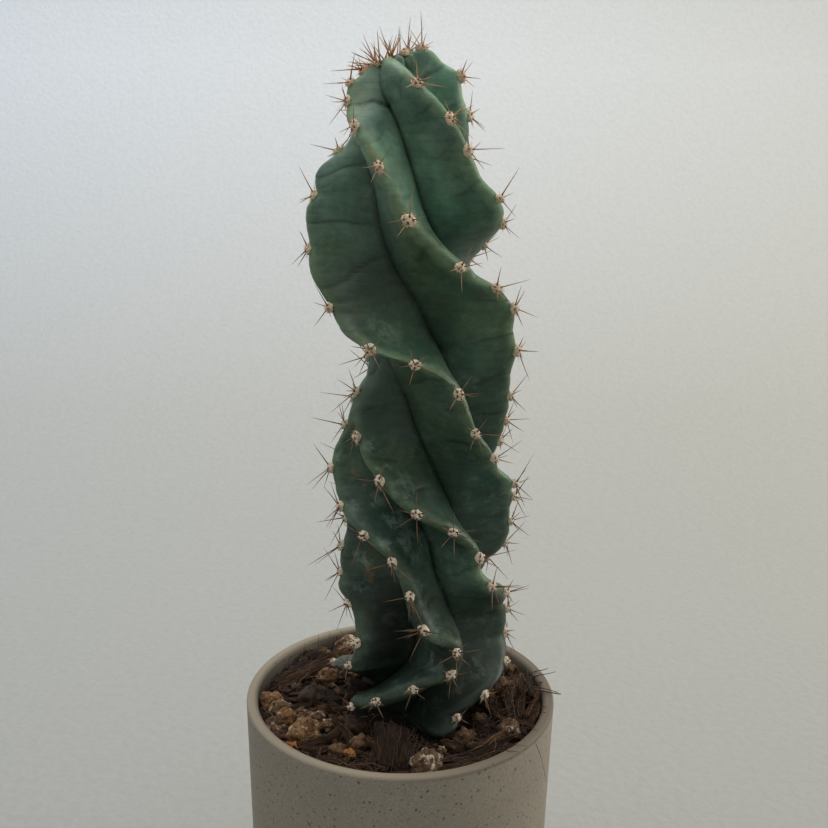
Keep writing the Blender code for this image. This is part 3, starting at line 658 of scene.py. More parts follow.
plantSettings = {
    # the place of each corky scar and each rubbed patch, and its size
    "scar": [
        (-21.5, -5.5, 236, 1.7), (-19, -7, 235, 1.6), (-16.5, -8.5, 235, 1.1), (-14.5, -8, 193, 2),
        (-14, -8, 190, 2.4), (-13, -8.5, 187, 1.8), (25, -20, 144, 1.7), (25, -22, 141, 2.1), (25, -23, 138, 2),
        (-17, -9, 231, 1.2), (-6, -31, 212, 1.2), (30, 20, 200, 4), (-10, 34, 186, 5),
    ],
    "rubbed": [
        (-11, -29, 245, 2.2), (-28, -1, 242, 2.2), (-6, -27, 245, 1.6), (1, -30, 237, 6), (-6, -31, 212, 3.6),
        (-17, -6, 196, 4.5), (8, -28, 196, 4), (-13, -22, 253, 3.4), (-3, -15, 173, 5), (-17, -11, 184, 4.4),
        (15, -30, 159, 4), (34, -13, 148, 4), (-8, -26, 301, 6), (-13, -13, 226, 4.5), (-3, -18, 219, 5),
        (3, -24, 210, 6), (-22, -15, 224, 3.5), (27, -9, 225, 2.5), (16, -39, 174, 6), (8, -36, 186, 6),
        (-22, -11, 390, 3.4), (-13, -9, 354, 3.4), (28, 22, 240, 7), (-18, 30, 260, 7),
    ],
    # places where light and shade are painted on the skin, darker or lighter than round them: place, size and gain
    "paintedLightAndShade": [
        (-24, -16, 317, 14, 0.6), (-9, -16, 320, 13, 0.6), (-8, -13, 269, 14, 0.7), (14, -19, 307, 9, 0.7),
        (2, -14, 370, 12, 1.6), (8, -13, 353, 12, 1.6), (17, -2, 389, 16, 1.45), (25, -18, 351, 14, 1.3),
        (30, -19, 304, 12, 1.3), (25, -8, 283, 10, 1.5), (36, -12, 230, 14, 1.6), (18, -18, 201, 16, 1.9),
        (31, -23, 189, 14, 1.6), (-5, -17, 172, 8.5, 0.35), (-5, -20, 161, 8.5, 0.35), (4, -36, 185, 9, 0.5),
        (20, -37, 166, 8, 0.55), (-16, -12, 183, 8, 0.65), (37, -14, 240, 10, 1.2), (38, -4, 219, 10, 1.3),
        (34, -2, 204, 9, 1.3), (10, -12, 345, 9, 1.3), (38, -12, 293, 9, 1.35), (41, 5, 251, 9, 1.3),
        (-26, -2, 242, 9, 1.25), (-6, -24, 249, 9, 1.25), (-6, -25, 215, 9, 1.35), (-16, -6, 198, 8, 1.25),
        (-7, -25, 370, 8, 1.3), (1, -25, 354, 9, 1.35), (9, -5, 395, 10, 1.25), (-24, -27, 303, 8, 0.7),
        (-7, -19, 337, 8, 0.75), (10, -34, 338, 8, 0.7), (14, -22, 138, 8, 0.75), (-6, -12, 181, 6, 0.55),
        (1, -15, 170, 6, 0.7), (-3, -19, 163, 6, 0.7), (-26, -12, 149, 7, 0.65), (30, -26, 139, 8, 0.7),
        (22, -32, 131, 6, 0.7), (35, -10, 150, 7, 0.75), (-20, -7, 190, 8, 1.25),
    ],
    # the youngest swellings between the ribs at the tip: place, width and height
    "lobes": [(-3.6, -5.5, 401.2, 2.8, 4.4), (0.4, -3.5, 402.6, 3.0, 4.0)], "lobeMarks": (0.12, 0, 0, 0, 0.8),
    # each fan of spines: tilt from the pad's own outward line, turn from the crest's upward line, and length
    "fans": {
        "old": [
            [(64, 205, 12.5), (72, 320, 8), (66, 80, 10.5), (24, 240, 10), (76, 150, 7)],
            [(60, 235, 14.5), (72, 25, 8.5), (66, 130, 8), (66, 320, 10.5), (50, 180, 9)],
            [(66, 175, 11.5), (60, 295, 13), (74, 60, 7.5), (70, 110, 9.5), (60, 225, 8), (72, 345, 6.5)],
        ],
        "young": [
            [(66, 90, 8), (62, 175, 10.5), (70, 235, 6), (64, 300, 7.5), (72, 15, 5.5), (22, 260, 9)],
            [(60, 100, 9), (68, 30, 7), (66, 210, 7.5), (56, 280, 12)],
            [(70, 80, 6), (64, 150, 7.5), (58, 222, 12.5), (68, 300, 6.5), (66, 5, 9)],
        ],
        "bud": [[(20, 0, 5.0), (35, 120, 6.0), (30, 240, 4.5)]],
    },
    # heights over which wool and spines turn from old to young, young fans come in, and pads grow wider
    "youngOver": (250, 390), "youngFansOver": (190, 270), "widerOver": (250, 310),
    "padRadius": 2.4, "padHeight": 2.1, "padSize": (0.88, 1.1), "budSize": 0.7, "budReach": 10, "padRaised": 0.35,
    "hairsPerPad": 60, "hairLength": (0.28, 0.66), "hairThick": 0.045, "beardLength": 1.7,
    "spineRadius": 0.31, "spineLength": (0.85, 1.2), "spineThick": (0.85, 1.15), "spineClearance": 6.0,
    # areoles that have lost their wool, and one whose spines have matted and rotted: ways and length
    "bare": [(402.8, 12), (399, 18), (127, 375)],
    "mattedHeight": 178, "mattedLength": 13.5,
    "mattedWays": [
        (-1, -0.5, 0.1), (-1, -0.42, 0.2), (-1, -0.6, 0.04), (-1, -0.35, -0.12), (-1, -0.3, 0.06),
        (-1, -0.5, -0.02), (-1, -0.25, 0.15), (-1, -0.6, -0.22), (-0.5, -0.5, -0.8), (0.9, -0.5, 0.1),
    ],
    # each cluster of the tuft at the tip: place, spines, their lean from upright and how far they fan
    "tuft": [
        ((-16, -1.5, 400.6), 6, -75, 30),
        ((-12.4, -2.5, 402.6), 17, -38, 62),
        ((-7, -1, 404.4), 12, -4, 42),
        ((-1.6, -1, 406.4), 5, 22, 34),
    ],
    "tuftSpread": 1.3, "tuftLength": (5.5, 14.5), "tuftTint": (0.6, 1.0), "tuftThick": (1.1, 1.45),
    "tuftHairs": 560, "tuftSpines": 40, "tuftHairLength": (1.0, 2.6), "tuftHairThick": 0.11, "tuftPad": (2.1, 2.2, 1.5),
    "youngPlace": (-1.6, -4.0, 406.8), "youngPad": (2.3, 2.0, 1.5),
    "shoulderHeight": 402, "shoulderSpine": 14.5,
}


def skinMaterial():
    # living skin under its wax: dull blue-green with worn bloom low down, fresher towards the tip, palest on the
    # crests; with a painted highlight on the crests, painted shade in the furrows, the folds and at the foot, and
    # painted light and shade in given places
    material, tree = newMaterial("waxyCactusSkin", {"Roughness": 0.5, "IOR": 1.42, "Specular IOR Level": 0.35})
    place = addNode(tree, "TexCoord", {})["Object"]
    height = addNode(tree, "SeparateXYZ", {0: place})["Z"]
    share, fold, scar, rubbed, gain = [
        addNode(tree, "Attribute", {"attribute_name": name})["Fac"]
        for name in ("share", "fold", "scar", "rubbed", "gain")
    ]
    # growth lines lie across the flanks, and scratches run aslant
    level = addNode(tree, "Mapping", {"Vector": place, "Scale": (0.16, 0.16, 1)})[0]
    aslant = addNode(tree, "Mapping", {"Vector": place, "Scale": (1, 1, 0.3), "Rotation": (0.4, 0.7, 0.3)})[0]
    # each pattern's size in millimetres, detail, roughness and distortion
    patches, leaning, band, mottle, growth, worn, scratch, ragged, pores, swell = [
        addNode(tree, "TexNoise", {
            "Vector": source, "Scale": 1 / (size * mm), "Detail": detail, "Roughness": rough, "Distortion": warp,
        })["Fac"]
        for source, size, detail, rough, warp in (
            (place, 38, 5, 0.6, 0),  # older and younger patches
            (place, 52, 4, 0.6, 0),  # a lean to teal or to olive
            (place, 15, 3, 0.5, 0),  # how far the pale crest reaches
            (place, 3.4, 6, 0.65, 0),  # mottling
            (level, 2.2, 3, 0.5, 0.5),  # growth lines
            (place, 7, 9, 0.72, 0),  # worn bloom
            (aslant, 3.2, 2, 0.5, 1.8),  # cobweb scratches, about 0.3 mm wide
            (place, 1.8, 3, 0.5, 0),  # torn edges of the scars
            (place, 0.8, 3, 0.5, 0),  # pores
            (place, 6, 4, 0.5, 0),  # slow undulations
        )
    ]
    # among these are the masks of the painted shade at the foot, in the furrows and in the folds
    age, spread, dampAndShade, furrow, deep, shallow, crease = [
        addNode(tree, "MapRange", {0: source, 1: low, 2: high, 3: first, 4: last})[0]
        for source, low, high, first, last in (
            (height, 0.13, 0.4, 0, 1),
            (band, 0.3, 0.7, 0.04, 0.24),
            (height, 0.127, 0.16, 0.82, 0),
            (share, 0.7, 1, 0, 0.22),
            (share, 0.92, 1, 0, 0.75),
            (height, 0.386, 0.397, 1, 0.15),
            (fold, 0.05, 0.9, 0, 0.5),
        )
    ]
    old = addNode(tree, "MapRange", {0: age, 2: 0.75, 3: 0.17, 4: 0.09})[0]
    blotched = addNode(tree, "Math", {"operation": "MULTIPLY_ADD", 0: patches, 1: 0.5, 2: -0.25})[0]
    ripe = addNode(tree, "Math", {"operation": "ADD", 0: age, 1: blotched})[0]
    thicker = addNode(tree, "Math", {"operation": "MULTIPLY_ADD", 0: rubbed, 1: 0.075, 2: worn})[0]
    torn = addNode(tree, "Math", {"operation": "MULTIPLY", 0: scar, 1: ragged})[0]
    flesh, cast, crestTone, mottled, lined, film, line, cork = [
        addNode(tree, "ValToRGB", {0: source, "stops": stops})[0]
        for source, stops in (
            (ripe, [(0, "#3e4a42"), (0.3, "#3d5147"), (0.62, "#45604e"), (1, "#6e8b77")]),
            (leaning, [(0.36, "#b4c9c5"), (0.5, "#f4f6f2"), (0.64, "#fff0d0")]),
            (ripe, [(0, "#4c5a48"), (0.5, "#607956"), (1, "#88a57a")]),
            (mottle, [(0.32, 0.55), (0.6, 1)]),
            (growth, [(0.36, 0.6), (0.55, 1)]),
            (thicker, [(0.53, 0), (0.58, 0.5), (0.68, 1)]),
            (scratch, [(0.488, 0), (0.502, 1), (0.516, 0)]),
            (torn, [(0.24, 0), (0.36, 0.45), (0.55, 0.8)]),
        )
    ]
    # the crests are paler and yellower, partly their own skin and partly a painted highlight, in a band that fades down
    # the flank
    near = addNode(tree, "Math", {"operation": "DIVIDE", 0: share, 1: spread})[0]
    crest = addNode(tree, "MapRange", {0: near, 3: 0.65, 4: 0})[0]
    # the bloom lies mostly on the older half and where the skin was rubbed, and so do flecks under a millimetre
    marked = addNode(tree, "Math", {"operation": "MULTIPLY_ADD", 0: rubbed, 1: 0.32, 2: old})[0]
    cells = addNode(tree, "TexVoronoi", {"Vector": place, "Scale": 1 / (4.2 * mm)})
    lot = addNode(tree, "SeparateColor", {0: cells["Color"]})[0]
    size = addNode(tree, "MapRange", {0: lot, 1: 0.7, 4: 0.12})[0]
    fleck = addNode(tree, "Math", {"operation": "LESS_THAN", 0: cells["Distance"], 1: size})[0]
    drawn = addNode(tree, "Math", {"operation": "MULTIPLY", 0: line, 1: film})[0]
    bottom, filmed, flecked, scratched = [
        addNode(tree, "Math", {"operation": "MULTIPLY", 0: one, 1: other})[0]
        for one, other in ((deep, shallow), (film, marked), (fleck, marked), (drawn, marked))
    ]
    # each layer over the flesh: how it blends, how much of it shows, and its colour
    tone = flesh
    for blend, amount, colour in (
        ("MULTIPLY", 1, cast),
        ("MIX", crest, crestTone),
        ("MULTIPLY", 0.55, mottled),
        ("MULTIPLY", 0.35, lined),
        ("MIX", dampAndShade, "#1c2a20"),  # painted shade at the foot, just over the mix
        # painted shade in the furrows, darkest at their bottom, and in the folds
        ("MIX", furrow, "#16241a"),
        ("MIX", bottom, "#0a120c"),
        ("MIX", crease, "#142419"),
        ("MIX", filmed, "#7f9184"),
        ("MIX", flecked, "#a9b3a0"),
        ("MIX", scratched, "#a3b0a2"),
        ("MIX", cork, "#73573a"),
    ):
        tone = addNode(tree, "Mix", {"data_type": "RGBA", "blend_type": blend, 0: amount, 6: tone, 7: colour})[2]
    # painted light and shade: the skin's colour made lighter or darker in the given places
    paintedLightAndShade = addNode(tree, "VectorMath", {"operation": "SCALE", 0: tone, "Scale": gain})[0]
    rough = addNode(tree, "MapRange", {0: filmed, 2: 0.6, 3: 0.44, 4: 0.66})[0]
    fine = addNode(tree, "Bump", {"Strength": 0.16, "Distance": 0.12 * mm, "Height": pores})[0]
    soft = addNode(tree, "Bump", {"Strength": 0.35, "Distance": 0.5 * mm, "Height": swell, "Normal": fine})[0]
    ridged = addNode(tree, "Bump", {"Strength": 0.4, "Distance": 0.35 * mm, "Height": growth, "Normal": soft})[0]
    return wire(material, {"Base Color": paintedLightAndShade, "Roughness": rough, "Normal": ridged})


def makeSkin():
    s = stemSettings
    heights = [s["plugBottom"], s["soilTop"] - 2.0, s["soilTop"] + 0.4]
    z = s["soilTop"] + s["footClearance"]
    while z < s["tipFrom"]:
        heights.append(z)
        z += s["footStep"] if z < s["soilTop"] + 4 else s["ringStep"]
    heights += [s["tipFrom"] + s["tipStep"] * i for i in range(1, 8)] + s["tipRings"] + [s["tipHeight"]]
    sections = [skinSection(z) for z in heights]
    columns = len(sections[0])
    skin = rolledGrid(columns, len(sections), lambda column, row: sections[row][column][0] * mm)
    # each point of the skin looks up the share and fold of the section point that it came from
    source = [entry for section in sections for entry in section]
    finder = KDTree(len(source))
    for i, entry in enumerate(source):
        finder.insert(entry[0], i)
    finder.balance()
    values = {"share": [], "fold": [], "scar": [], "rubbed": [], "gain": []}
    for vertex in skin.data.vertices:
        spot = vertex.co / mm
        entry = source[finder.find(spot)[1]]
        values["share"].append(entry[1])
        values["fold"].append(entry[2])
        for name in ("scar", "rubbed"):
            nearest = max(clamp(1.5 - (spot - Vector(row[:3])).length / row[3]) for row in plantSettings[name])
            values[name].append(nearest)
        # the gain of the painted light and shade from the given places
        gain = 1.0
        for *place, size, most in plantSettings["paintedLightAndShade"]:
            near = clamp(1.5 - (spot - Vector(place)).length / size)
            gain *= 1 + (most - 1) * near * near * (3 - 2 * near)
        values["gain"].append(gain)
    for name, numbers in values.items():
        mark(skin, name, numbers)
    bead = begin(bpy.ops.mesh.primitive_ico_sphere_add, subdivisions=4, radius=1)
    for vertex in bead.data.vertices:
        vertex.co *= 1 + 0.12 * noise.noise(vertex.co * 1.6)
    marks = dict(zip(values, plantSettings["lobeMarks"]))
    lobes = [
        copyOf(bead, moved(x, y, z) @ sized(wide, wide, high), **marks)
        for x, y, z, wide, high in plantSettings["lobes"]
    ]
    discard([bead])
    skin = joinAll([skin] + lobes)
    bpy.ops.object.shade_smooth_by_angle(angle=math.radians(60))
    dress(skin, "cactusSkin", skinMaterial(), "stem")
    print("skin ready:", len(heights), "rings of", columns)


def areolePlaces():
    # where each areole sits, which way it faces, which way its crest runs, and how high it is on the plant
    places = []
    for row, curve in zip(ribRows, ribCurves):
        for z, azimuth, reach in row["areoles"][1:]:
            if (z, azimuth) in plantSettings["bare"]:
                continue
            steps = (-1.5, 0, 1.5)
            ribs = [ribAt(curve, z + step) for step in steps]
            start, spot, end = [
                sectionPoint(z + step, rib["azimuth"], rib["reach"]) for step, rib in zip(steps, ribs)
            ]
            run = (end - start).normalized()
            out = outward(z, ribs[1]["azimuth"])
            out = (out - run * out.dot(run)).normalized()
            places.append({"spot": spot, "out": out, "run": run, "z": z, "bud": reach <= plantSettings["budReach"]})
    return places


def woolMaterial():
    # matted plant wool: short dull fibres, cream-white when old, tan near the tip, dark in the pits of the spines
    material, tree = newMaterial("areoleWool", {"Roughness": 0.95, "Sheen Weight": 0.2})
    place = addNode(tree, "TexCoord", {})["Object"]
    height = addNode(tree, "SeparateXYZ", {0: place})["Z"]
    pit = addNode(tree, "Attribute", {"attribute_name": "pit"})["Fac"]
    age = addNode(tree, "MapRange", {0: height, 1: 0.2, 2: 0.4})[0]
    # clumps of wool are about 1 mm, with painted shade between them
    clumps = addNode(tree, "TexNoise", {"Vector": place, "Scale": 1 / (1.0 * mm), "Detail": 4})["Fac"]
    wool, shade = [
        addNode(tree, "ValToRGB", {0: source, "stops": stops})[0]
        for source, stops in (
            (age, [(0, "#e6d6bd"), (0.55, "#e0ceb0"), (0.94, "#e2ceb0"), (1, "#d6bb9a")]),
            (clumps, [(0.36, "#7a6049"), (0.52, "#ffffff")]),
        )
    ]
    withPaintedShade = addNode(tree, "Mix", {"data_type": "RGBA", "blend_type": "MULTIPLY", 0: 0.5, 6: wool, 7: shade})[2]
    hollow = addNode(tree, "MapRange", {0: pit, 1: 0.4, 2: 0.72, 4: 0.97})[0]
    tone = addNode(tree, "Mix", {"data_type": "RGBA", 0: hollow, 6: withPaintedShade, 7: "#3a1810"})[2]
    bump = addNode(tree, "Bump", {"Strength": 0.8, "Distance": 0.4 * mm, "Height": clumps})[0]
    return wire(material, {"Base Color": tone, "Normal": bump})


def spineMaterial():
    # hard woody spines: near black-brown at the root, red-brown, then tan and a little clear at the tip
    material, tree = newMaterial("woodySpine", {"Roughness": 0.42})
    along, tint = [addNode(tree, "Attribute", {"attribute_name": name})["Fac"] for name in ("along", "tint")]
    old, young = [
        addNode(tree, "ValToRGB", {0: along, "stops": stops})[0]
        for stops in (
            [(0, "#3a1810"), (0.12, "#5c3622"), (0.5, "#7e5e3a"), (0.85, "#634830"), (1, "#2c1d17")],
            [(0, "#7a3c22"), (0.12, "#b06c3c"), (0.5, "#c99c68"), (0.85, "#a87648"), (1, "#583424")],
        )
    ]
    aged = addNode(tree, "Mix", {"data_type": "RGBA", 0: tint, 6: old, 7: young})[2]
    # where they are matted together they have rotted dark
    rotten = addNode(tree, "MapRange", {0: tint, 1: -1, 2: 0, 3: 0.4})[0]
    tone = addNode(tree, "VectorMath", {"operation": "SCALE", 0: aged, "Scale": rotten})[0]
    return wire(material, {"Base Color": tone})


def spinePattern():
    # a unit spine: a swollen foot, then a long even taper with a slight bow
    spine = drawnRod(6, 0, 0.95, ((0.06, 0.78), (0.2, 0.84), (0.35, 0.66), (0.25, 0.46), (0.09, 0.3)))
    for vertex in spine.data.vertices:
        vertex.co.x += 1.6 * vertex.co.z ** 2
    bpy.ops.object.shade_smooth()
    mark(spine, "along", [clamp(vertex.co.z) for vertex in spine.data.vertices])
    return spine


def hairPattern():
    # one curled hair of wool, three-sided
    hair = begin(
        bpy.ops.mesh.primitive_cone_add,
        vertices=3, radius1=1, radius2=0.35, depth=0.5, location=(0, 0, 0.25), end_fill_type="NOTHING",
    )
    heights = [vertex.co.z for vertex in hair.data.vertices]
    selectBy(hair, "EDGE", lambda edge: all(heights[i] > 0.4 for i in edge.vertices))
    bpy.ops.mesh.extrude_region_move(TRANSFORM_OT_translate={"value": (2.5, 0.5, 0.5)})
    bpy.ops.transform.resize(value=(0.2, 0.2, 1))
    bpy.ops.mesh.edge_face_add()
    bpy.ops.mesh.select_all(action="DESELECT")
    bpy.ops.mesh.select_non_manifold()
    bpy.ops.mesh.edge_face_add()
    faceOutwards()
    return hair


def turnedWay(spread, around):
    return Vector((-math.sin(around) * math.sin(spread), math.cos(around) * math.sin(spread), math.cos(spread)))


def pitWay(tilt, turn):
    # where on its pad a spine comes out
    return turnedWay(math.radians(tilt * 0.7), math.radians(turn))


def padPattern(fan):
    # a domed pad of wool, one unit in radius, pitted where its fan of spines comes out
    pad = begin(bpy.ops.mesh.primitive_ico_sphere_add, subdivisions=3, radius=1)
    ways = [pitWay(tilt, turn) for tilt, turn, _ in fan]
    pits = []
    shift = Vector((len(fan) * 1.7, fan[0][1] * 0.1, 0))
    for vertex in pad.data.vertices:
        spot = vertex.co.normalized()
        pit = max(math.exp(-((spot - way).length / 0.36) ** 2) for way in ways)
        swell = 1 + 0.3 * noise.noise(spot * 2.1 + shift) + 0.2 * noise.noise(spot * 5.1 + shift) - 0.2 * pit
        vertex.co = spot * swell
        pits.append(pit)
    mark(pad, "pit", pits)
    bpy.ops.object.shade_smooth()
    return pad


def woolPattern(hair):
    # the loose hairs that stand off one pad, in the pad's own units
    p = plantSettings
    hairs = []
    for i in range(p["hairsPerPad"]):
        way = turnedWay(math.radians(92 * math.sqrt(chance.random())), between(*anyTurn))
        stand = (way * 0.7 + Vector((between(-0.6, 0.6), between(-0.6, 0.6), 0.35))).normalized()
        long = between(*p["hairLength"])
        if i % 4 == 0:
            # a beard hangs from the pad's lower end
            way = Vector((between(-0.45, 0.45), -0.8, 0.3))
            stand, long = Vector((between(-0.4, 0.4), -1, 0.1)).normalized(), long * p["beardLength"]
        shape = Matrix.Diagonal((p["hairThick"], p["hairThick"], long, 1))
        hairs.append(copyOf(hair, layAlong(way * 0.86, stand) @ shape))
    return joinAll(hairs)


def frameFrom(spot, out, run):
    side = out.cross(run).normalized()
    return Matrix.Translation(spot * mm) @ Matrix((-side, run, out)).transposed().to_4x4()


def makeAreoles():
    p = plantSettings
    spine, hair = spinePattern(), hairPattern()
    kinds = {
        key: [{"fan": fan, "pad": padPattern(fan), "wool": woolPattern(hair)} for fan in fans]
        for key, fans in p["fans"].items()
    }
    pads, hairs, spines = [], [], []

    def addSpine(foot, way, length, tint, thick):
        radius = p["spineRadius"] * thick
        spines.append(copyOf(spine, layAlong(foot, way.normalized()) @ sized(radius, radius, length), tint=tint))

    def scattered(wide, deep, low, high):
        return Vector((chance.gauss(0, wide), chance.gauss(0, deep), between(low, high)))

    places = areolePlaces()
    for place in places:
        z, spot = place["z"], place["spot"]
        young = climbed(z, *p["youngOver"])
        key = "bud" if place["bud"] else "young" if chance.random() < climbed(z, *p["youngFansOver"]) else "old"
        kind = chance.choice(kinds[key])
        size = between(*p["padSize"]) * (0.87 + 0.11 * climbed(z, *p["widerOver"]) - 0.06 * young)
        size *= p["budSize"] if place["bud"] else 1
        at = frameFrom(spot + place["out"] * p["padRaised"], place["out"], place["run"])
        at = at @ spun(math.radians(between(-35, 35)), "Z")
        radius, height = p["padRadius"] * size * mm, p["padHeight"] * (1 - 0.12 * young) * size * mm
        shape = at @ Matrix.Diagonal((radius * 0.92, radius * 1.14, height, 1))
        pads.append(copyOf(kind["pad"], shape))
        hairs.append(copyOf(kind["wool"], shape @ Matrix.Scale(1 + 0.16 * young, 4)))
        if z == p["mattedHeight"] and spot.y < -20:
            for way in p["mattedWays"]:
                foot = at.translation + Vector((0, 0, between(-0.9, 0.9))) * mm
                addSpine(foot, Vector(way), p["mattedLength"] * between(0.5, 1.15), between(-1, -0.3), 1.5)
            continue
        # spines are short at the foot and longest over the lower half
        grown = 0.62 + 0.38 * climbed(z, 150, 180) + 0.2 * climbed(z, 165, 185) * climbed(z, 300, 260)
        for tilt, turn, length in kind["fan"]:
            foot = shape @ (pitWay(tilt, turn) * 0.66)
            leant, swung = math.radians(tilt + between(-8, 8)), math.radians(turn + between(-14, 14))
            way = at.to_3x3() @ turnedWay(leant, swung)
            long = length * between(*p["spineLength"]) * grown
            if spot.z + way.z * long < stemSettings["soilTop"] + p["spineClearance"]:
                way.z = abs(way.z) * 0.6
            addSpine(foot, way, long, young * between(0.3, 0.9), between(*p["spineThick"]))
    # the tuft at the growing tip: clusters that fan from leaning left to upright, out of mats of new wool
    newPad = kinds["bud"][0]
    for place, count, leaning, fan in p["tuft"]:
        for i in range(count):
            foot = Vector(place) + scattered(1, 1.4, -0.8, 0.2) * p["tuftSpread"]
            away = math.radians(leaning + fan * (2 * (i + chance.random()) / count - 1))
            way = Vector((math.sin(away), between(-0.75, 0.45), math.cos(away)))
            addSpine(foot * mm, way, between(*p["tuftLength"]), between(*p["tuftTint"]), between(*p["tuftThick"]))
        for i in range(p["tuftHairs"] * count // p["tuftSpines"]):
            foot = Vector(place) + scattered(1.5, 1.8, -1.2, 0.4)
            way = Vector((between(-1, 1), between(-1, 0.6), between(-0.9, 1.0))).normalized()
            shape = sized(p["tuftHairThick"], p["tuftHairThick"], between(*p["tuftHairLength"]))
            hairs.append(copyOf(hair, layAlong(foot * mm, way) @ shape))
        pads.append(copyOf(newPad["pad"], moved(*place) @ sized(*p["tuftPad"])))
    up = frameFrom(Vector(p["youngPlace"]), Vector((0, -0.3, 1)).normalized(), Vector((1, 0, 0)))
    for part, gathered in (("pad", pads), ("wool", hairs)):
        gathered.append(copyOf(newPad[part], up @ sized(*p["youngPad"])))
    shoulder = next(place for place in places if place["z"] == p["shoulderHeight"])
    addSpine(shoulder["spot"] * mm, Vector((0, 0, 1)), p["shoulderSpine"], 0.3, 1.3)
    discard([spine, hair] + [kind[part] for rows in kinds.values() for kind in rows for part in ("pad", "wool")])
    wool = woolMaterial()
    dress(joinAll(pads), "areoleCushions", wool)
    dress(joinAll(hairs), "areoleHairs", wool)
    dress(joinAll(spines), "spines", spineMaterial())
    print("areoles ready:", len(pads), "pads,", len(spines), "spines")


makeSkin()
makeAreoles()


# Potting mix

